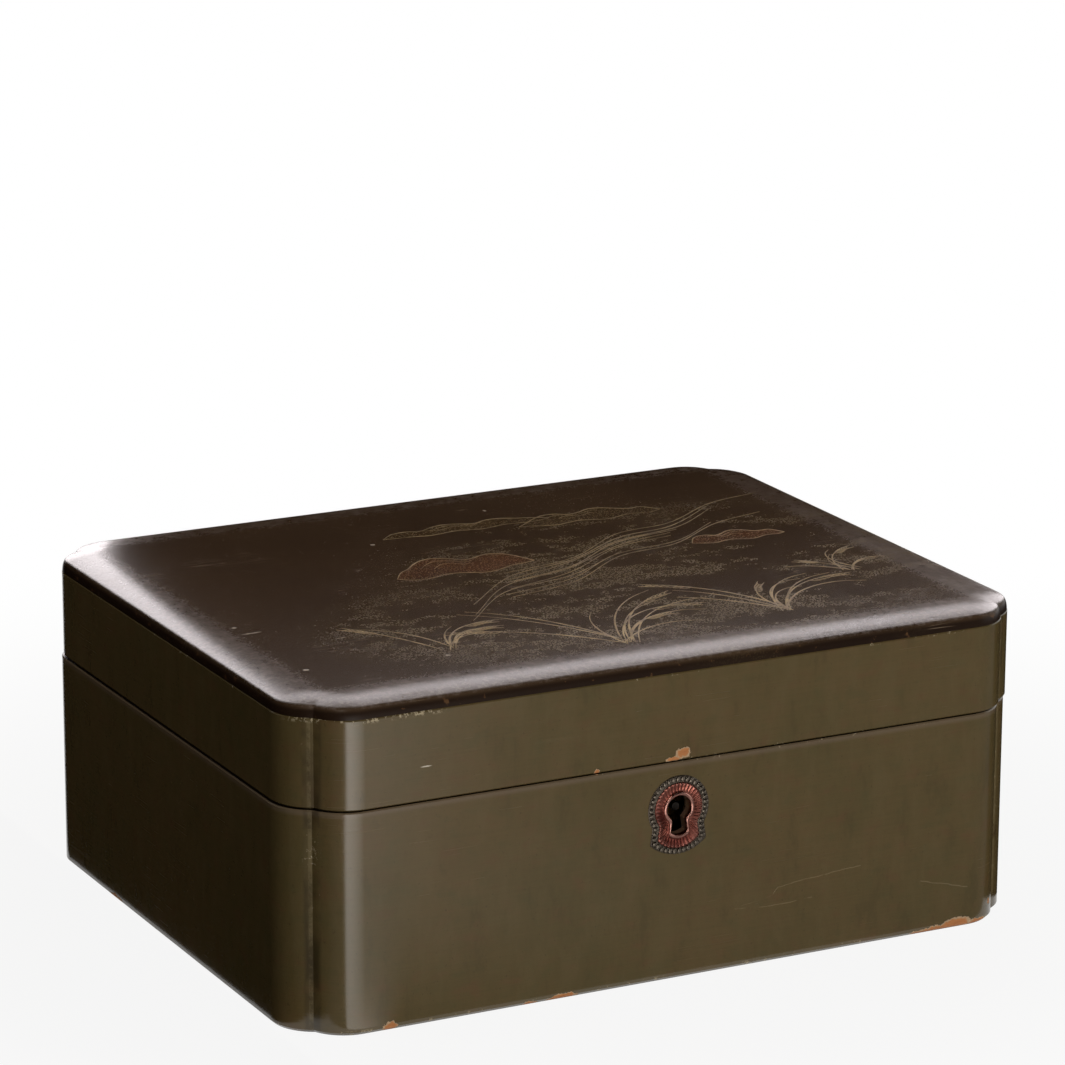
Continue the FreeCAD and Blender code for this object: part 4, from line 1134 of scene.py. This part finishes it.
hinge_places = [(side * 70 + step, 92.85, z) for z in (69.0, 69.4) for side in (-1, 1)
                for step in (-10, 0, 10)]
screws("box_hinge_screws", hinge_places[:6], (0, 0, 0), "hinge_brass")
screws("lid_hinge_screws", hinge_places[6:], (math.pi, 0, 0), "hinge_brass")
screws("lock_screws", [(x, -90.0, z) for x in (-22.75, 22.75) for z in (64.6, 40.2)], (-math.pi / 2, 0, 0),
       "lock_brass")
screws("link_screws", [(x, -93.7, 69.4) for x in (-14.5, 14.5)], (math.pi, 0, 0), "lock_brass")


# Silk on the floor of the box and inside the lid

def silk(name, node, clip, under):
    """A glued sheet of silk: nearly flat, a little puckered, its edges turned down."""
    low, high = (np.array(corner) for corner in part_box(node))
    top = high[2] if under else low[2]
    way = -1.0 if under else 1.0
    thickness = high[2] - low[2]
    clip *= MM
    lines = []
    for axis in (0, 1):
        start, end = low[axis] + clip, high[axis] - clip
        count = int((end - start) / 0.004)
        lines.append(np.concatenate([np.linspace(low[axis], start, 4)[:-1], np.linspace(start, end, count),
                                     np.linspace(end, high[axis], 4)[1:]]))
    skin = bmesh.new()
    grid = {}

    def kept(i, j):
        corner_x = i < 3 or i >= len(lines[0]) - 4
        corner_y = j < 3 or j >= len(lines[1]) - 4
        return not (corner_x and corner_y)

    def vertex(i, j):
        if (i, j) not in grid:
            x, y = lines[0][i], lines[1][j]
            ripple = math.sin(x * 310 + 2 * math.sin(y * 90)) * math.sin(y * 240 + 3 * math.sin(x * 70))
            edge_x = min(x - low[0], high[0] - x)
            edge_y = min(y - low[1], high[1] - y)
            inside = min(1.0, min(edge_x if clip < edge_y else max(edge_x - clip, 0),
                                  edge_y if clip < edge_x else max(edge_y - clip, 0)) / 0.0025)
            lift = thickness * (0.55 + 0.3 * inside + 0.1 * ripple * inside)
            grid[i, j] = (skin.verts.new((x, y, top + way * lift)), skin.verts.new((x, y, top)))
        return grid[i, j]

    walled(skin, [[vertex(i, j), vertex(i + 1, j), vertex(i + 1, j + 1), vertex(i, j + 1)]
                  for i in range(len(lines[0]) - 1) for j in range(len(lines[1]) - 1) if kept(i, j)])
    piece = made_piece(name, shaded(skin, name, 60), node)


silk("floor_silk", "floor_cloth", 11.5, False)
silk("lid_silk", "lid_lining", 6.5, True)


# Brushes

def lathe(name, profile, x, y, z, sides=32):
    """A closed turned shape along y; the profile gives (radius, distance) in millimetres."""
    skin = bmesh.new()
    rows = []
    for radius, along in profile:
        if radius == 0:
            rows.append([skin.verts.new((x, y + along * MM, z))])
        else:
            rows.append([skin.verts.new((x + radius * MM * math.cos(2 * math.pi * k / sides), y + along * MM,
                                         z + radius * MM * math.sin(2 * math.pi * k / sides)))
                                         for k in range(sides)])
    for low, high in zip(rows, rows[1:]):
        for number in range(sides):
            after = (number + 1) % sides
            ring = [low[number % len(low)], low[after % len(low)], high[after % len(high)],
                    high[number % len(high)]]
            skin.faces.new(list(dict.fromkeys(ring)))
    bmesh.ops.recalc_face_normals(skin, faces=skin.faces)
    return shaded(skin, name, 40)


def cane_profile():
    """A bamboo cane with two joints, a turned end and a horn ferrule."""
    profile = [(0, 0), (2.2, 0), (3.0, 0.3), (3.5, 1.0), (3.6, 3.0), (3.3, 3.5), (3.3, 4.1), (3.7, 4.6)]
    for along in np.linspace(6, 100, 48):
        joint = min(abs(along - 41), abs(along - 78))
        swell = 0.22 * math.exp(-(joint / 1.4) ** 2) - 0.25 * math.exp(-((joint - 0.15) / 0.35) ** 2)
        profile.append((3.72 + swell, float(along)))
    return profile + [(3.72, 102.9), (4.3, 103.0), (4.55, 103.4), (4.6, 104.0), (4.6, 105.2), (4.35, 105.5),
                      (4.35, 105.9), (4.6, 106.2), (4.6, 110.6), (4.5, 111.5), (4.15, 112.0), (0, 112.0)]


def bristles(name, node, x, z, start):
    """A brush tip: a full core with strands laid round it."""
    profile = [(3.95, 0), (4.05, 3), (4.12, 7), (4.05, 10.5), (3.7, 14), (3.0, 18), (1.9, 22), (0.9, 25),
               (0.25, 26.7)]
    inner = [(0, 0)] + [(radius * 0.93, along) for radius, along in profile] + [(0, 26.8)]
    core = lathe(name + "_core", inner, x, start, z, 24)
    made_piece(name + "_core", core, node)
    strand = bpy.data.meshes.new("strand")
    strand.from_pydata([((radius - 0.12) * MM, along * MM, 0) for radius, along in profile],
                       [(k, k + 1) for k in range(len(profile) - 1)], [])
    tree = Shaper("bristles")
    count = tree.size("Strands", 110, "NodeSocketInt")
    thickness = tree.size("Strand Radius", 0.00012)
    seed = tree.size("Seed", 8, "NodeSocketInt")
    line = tree.node("GeometryNodeMeshToCurve", None, {0: tree.shape})
    section = tree.node("GeometryNodeCurvePrimitiveCircle", None, {"Resolution": 3, "Radius": thickness})
    line = tree.node("GeometryNodeCurveToMesh", None,
                     {"Curve": line, "Profile Curve": section, "Fill Caps": True})
    spots = tree.node("GeometryNodePoints", None, {"Count": count, "Position": (x, start, z)})
    turn = tree.node("FunctionNodeRandomValue", {"data_type": "FLOAT_VECTOR"},
                     {0: (0, 0, 0), 1: (0, 2 * math.pi, 0), "Seed": seed})
    grow = tree.node("FunctionNodeRandomValue", {"data_type": "FLOAT_VECTOR"},
                     {0: (0.95, 0.94, 0.95), 1: (1, 1, 1), "Seed": seed})
    turn = tree.node("FunctionNodeEulerToRotation", None, {0: turn})
    row = tree.node("GeometryNodeInstanceOnPoints", None, {
        "Points": spots, "Instance": line, "Rotation": turn, "Scale": grow})
    made_piece(name, tree.applied(strand, row, FINISHES["brush_hair"]), node)


for side in ("left", "right"):
    low, high = (Vector(corner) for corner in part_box(f"brush_{side}_handle"))
    axis_x, axis_z = (low.x + high.x) / 2, (low.z + high.z) / 2
    made_piece(f"brush_{side}_cane", lathe(f"brush_{side}_cane", cane_profile(), axis_x, low.y, axis_z),
               f"brush_{side}_handle")
    bristles(f"brush_{side}_bristles", f"brush_{side}_hair", axis_x, axis_z, high.y)


# Every other node keeps its shape and gets its finish
for node, thing in frame["nodes"].items():
    if not thing.hide_render:
        thing.data.materials.clear()
        thing.data.materials.append(FINISHES[SLOT_OF[node]])


# Studio

def flat(low, high, z):
    """Corners of a level sheet between two points of the floor plan."""
    return [(low[0], low[1], z), (high[0], low[1], z), (high[0], high[1], z), (low[0], high[1], z)]


def upright(start, end, height):
    """Corners of a card that stands on the floor between two points."""
    return [(*start, 0), (*end, 0), (*end, height), (*start, height)]


def stage_sheet(name, corners, colour, glow=(0, 0, 0, 1), strength=0.0, **seen):
    """A flat sheet of the studio, four corners in order; some glow in what mirrors them."""
    mesh = bpy.data.meshes.new(name)
    mesh.from_pydata(corners, [], [(0, 1, 2, 3)])
    sheet = shown(name, mesh)
    f = Finish(name, base_color=colour, roughness=1.0, specular_ior_level=0.0, emission_color=glow,
               emission_strength=strength)
    f.material.cycles.emission_sampling = "NONE"
    mesh.materials.append(f.material)
    for ray, met in seen.items():
        setattr(sheet, "visible_" + ray, met)
    return f


def seen_rays(tree):
    """1 for what the camera sees straight, mirrored or through glass."""
    path = tree.nodes.new("ShaderNodeLightPath")
    total = path.outputs["Is Camera Ray"]
    for label in ("Is Glossy Ray", "Is Transmission Ray"):
        larger = tree.nodes.new("ShaderNodeMath")
        larger.operation = "MAXIMUM"
        tree.links.new(total, larger.inputs[0])
        tree.links.new(path.outputs[label], larger.inputs[1])
        total = larger.outputs[0]
    return total


def studio():
    """Pale floor and backdrop, a softbox and two fills, and the cards and sheets that the lacquer mirrors."""
    floor = stage_sheet("floor", flat((-6, -6), (6, 6), 0), paint_of(216, 214, 210))
    away = floor.vectors("LENGTH", floor.place, output=1)
    white = floor.node("ShaderNodeMapRange", {"interpolation_type": "SMOOTHSTEP"},
                       {0: away, 1: 0.15, 2: 0.42, 3: 0.9, 4: 1.0})
    glow = floor.node("ShaderNodeEmission", None, {"Color": (1, 1, 1, 1)})
    mixed = floor.node("ShaderNodeMixShader", None, {
        0: Signal(floor, seen_rays(floor.tree)) * white, 1: Signal(floor, floor.shader.outputs[0]), 2: glow})
    floor.tree.links.new(mixed.socket, floor.tree.nodes["Material Output"].inputs["Surface"])

    # Cards that shape what the lacquer mirrors; the two on the left also take light from it
    black = paint_of(14, 12, 12)
    mirrored = dict(camera=False, diffuse=False, shadow=False, transmission=False)
    stage_sheet("brown_card_behind", upright((-0.062, 0.2), (0.36, 0.2), 0.29), paint_of(66, 48, 36),
                **mirrored)
    stage_sheet("dark_cloth_right", flat((0.1275, -0.6), (1.2, 1.2), 0.001), black, **mirrored)
    stage_sheet("dark_card_left", upright((-0.42, -0.45), (-0.42, 0.5), 0.5), black,
                camera=False, shadow=False)
    stage_sheet("dark_cloth_left", flat((-0.9, -0.5), (-0.1262, 0.9), 0.001), black,
                camera=False, shadow=False)
    stage_sheet("dark_card_back_left", upright((-1.2, 0.8), (-0.12, 0.8), 0.6), black, **mirrored)
    stage_sheet("dark_ceiling", flat((-1.6, -1.6), (1.6, 0.66), 1.1), black, **mirrored)
    stage_sheet("dark_wall_front", upright((-1.6, -1.6), (1.6, -1.6), 1.1), black, **mirrored)
    stage_sheet("spark_card",
                [(-0.72, -0.62, 0.58), (-0.42, -0.84, 0.58), (-0.34, -0.70, 0.84), (-0.64, -0.48, 0.84)],
                black, (1.0, 0.95, 0.88, 1), 5.0, **mirrored)
    stage_sheet("bright_sheet_back",
                [(0.077, 1.710, 0.137), (1.399, 1.112, 0.137), (1.163, 0.590, 1.303), (-0.159, 1.188, 1.303)],
                black, (1.0, 0.93, 0.95, 1), 5.2, **mirrored)

    # Pale sheet before the box: a bright wedge that the corner arcs mirror, fading to the right
    wedge = stage_sheet("pale_sheet_front", flat((-0.9, -1.3), (1.0, -0.1012), 0.0015), black, strength=4.5,
                        **mirrored)
    ahead = -1.0 * wedge.y - (HALF_DEPTH - ARC_RADIUS)
    slope = (-1.0 * wedge.x - (HALF_WIDTH - ARC_START)) / ahead
    beam = wedge.both(wedge.rise(slope, -0.85, 0.42), wedge.fall(slope, 0.37, 0.43))
    beam = beam * (0.66 + wedge.rise(ahead, 0.0, 0.3) * 0.34)
    base = wedge.fall(wedge.x, -0.14, 0.1) * wedge.fall(slope, 0.37, 0.43)
    base = base * wedge.rise(ahead, 0.01, 0.14) * 0.15 + wedge.fall(slope, 0.8, 1.8) * 0.03 + 0.01
    glow = wedge.blend(wedge.either(beam, base), (0, 0, 0, 1), (1.0, 0.98, 0.95, 1))
    wedge.tree.links.new(glow.socket, wedge.shader.inputs["Emission Color"])

    world = bpy.data.worlds.new("studio")
    bpy.context.scene.world = world
    world.use_nodes = True
    tree = world.node_tree
    sky = tree.nodes["Background"]
    sky.inputs["Color"].default_value = (1.0, 0.985, 0.965, 1)
    sky.inputs["Strength"].default_value = 0.28
    white = tree.nodes.new("ShaderNodeBackground")
    white.inputs["Color"].default_value = (1, 1, 1, 1)
    mixed = tree.nodes.new("ShaderNodeMixShader")
    tree.links.new(seen_rays(tree), mixed.inputs[0])
    tree.links.new(sky.outputs[0], mixed.inputs[1])
    tree.links.new(white.outputs[0], mixed.inputs[2])
    tree.links.new(mixed.outputs[0], tree.nodes["World Output"].inputs["Surface"])

    def softbox(name, place, target, wide, tall, power, colour):
        """A flat lamp aimed at a point, which mirrors don't see."""
        lamp = bpy.data.lights.new(name, "AREA")
        lamp.shape = "RECTANGLE"
        lamp.size = wide
        lamp.size_y = tall
        lamp.energy = power
        lamp.color = colour
        thing = shown(name, lamp)
        aim = Vector(target) - Vector(place)
        thing.matrix_world = Matrix.Translation(place) @ aim.to_track_quat("-Z", "Y").to_matrix().to_4x4()
        thing.visible_camera = False
        thing.visible_glossy = False

    softbox("front_softbox", (-0.02, -1.25, 0.26), (0, -0.1, 0.06), 0.66, 0.5, 7.0, (1.0, 0.98, 0.95))
    softbox("left_fill", (-1.0, 0.35, 0.75), (-0.1, 0, 0.08), 0.5, 0.4, 1.9, (1.0, 0.9, 0.78))
    softbox("back_fill", (0.45, 1.25, 0.3), (0.05, 0, 0.05), 1.2, 0.5, 7.0, (1.0, 0.98, 0.96))


studio()


CAMERA_PLACE = (-0.6756, -1.3182, 0.5282)
CAMERA_TURNS = (27.20, 15.58, 0.214)
PHOTO_PIXELS, FOCAL_PIXELS, SENSOR_WIDTH = 1065, 4897.0, 36.0


def camera():
    """The camera at the photograph's place."""
    yaw, pitch, roll = (math.radians(angle) for angle in CAMERA_TURNS)
    facing = Vector((math.sin(yaw) * math.cos(pitch), math.cos(yaw) * math.cos(pitch), -math.sin(pitch)))
    level = Vector((math.cos(yaw), -math.sin(yaw), 0))
    above = level.cross(facing)
    right = level * math.cos(roll) + above * math.sin(roll)
    up = above * math.cos(roll) - level * math.sin(roll)
    data = bpy.data.cameras.new("camera")
    data.sensor_width = SENSOR_WIDTH
    data.lens = FOCAL_PIXELS / PHOTO_PIXELS * SENSOR_WIDTH
    data.clip_start = 0.05
    data.clip_end = 50.0
    thing = shown("camera", data)
    turn = Matrix((right, up, -facing)).transposed().to_4x4()
    thing.matrix_world = Matrix.Translation(CAMERA_PLACE) @ turn
    bpy.context.scene.camera = thing


camera()
bpy.context.scene.view_settings.view_transform = "Standard"
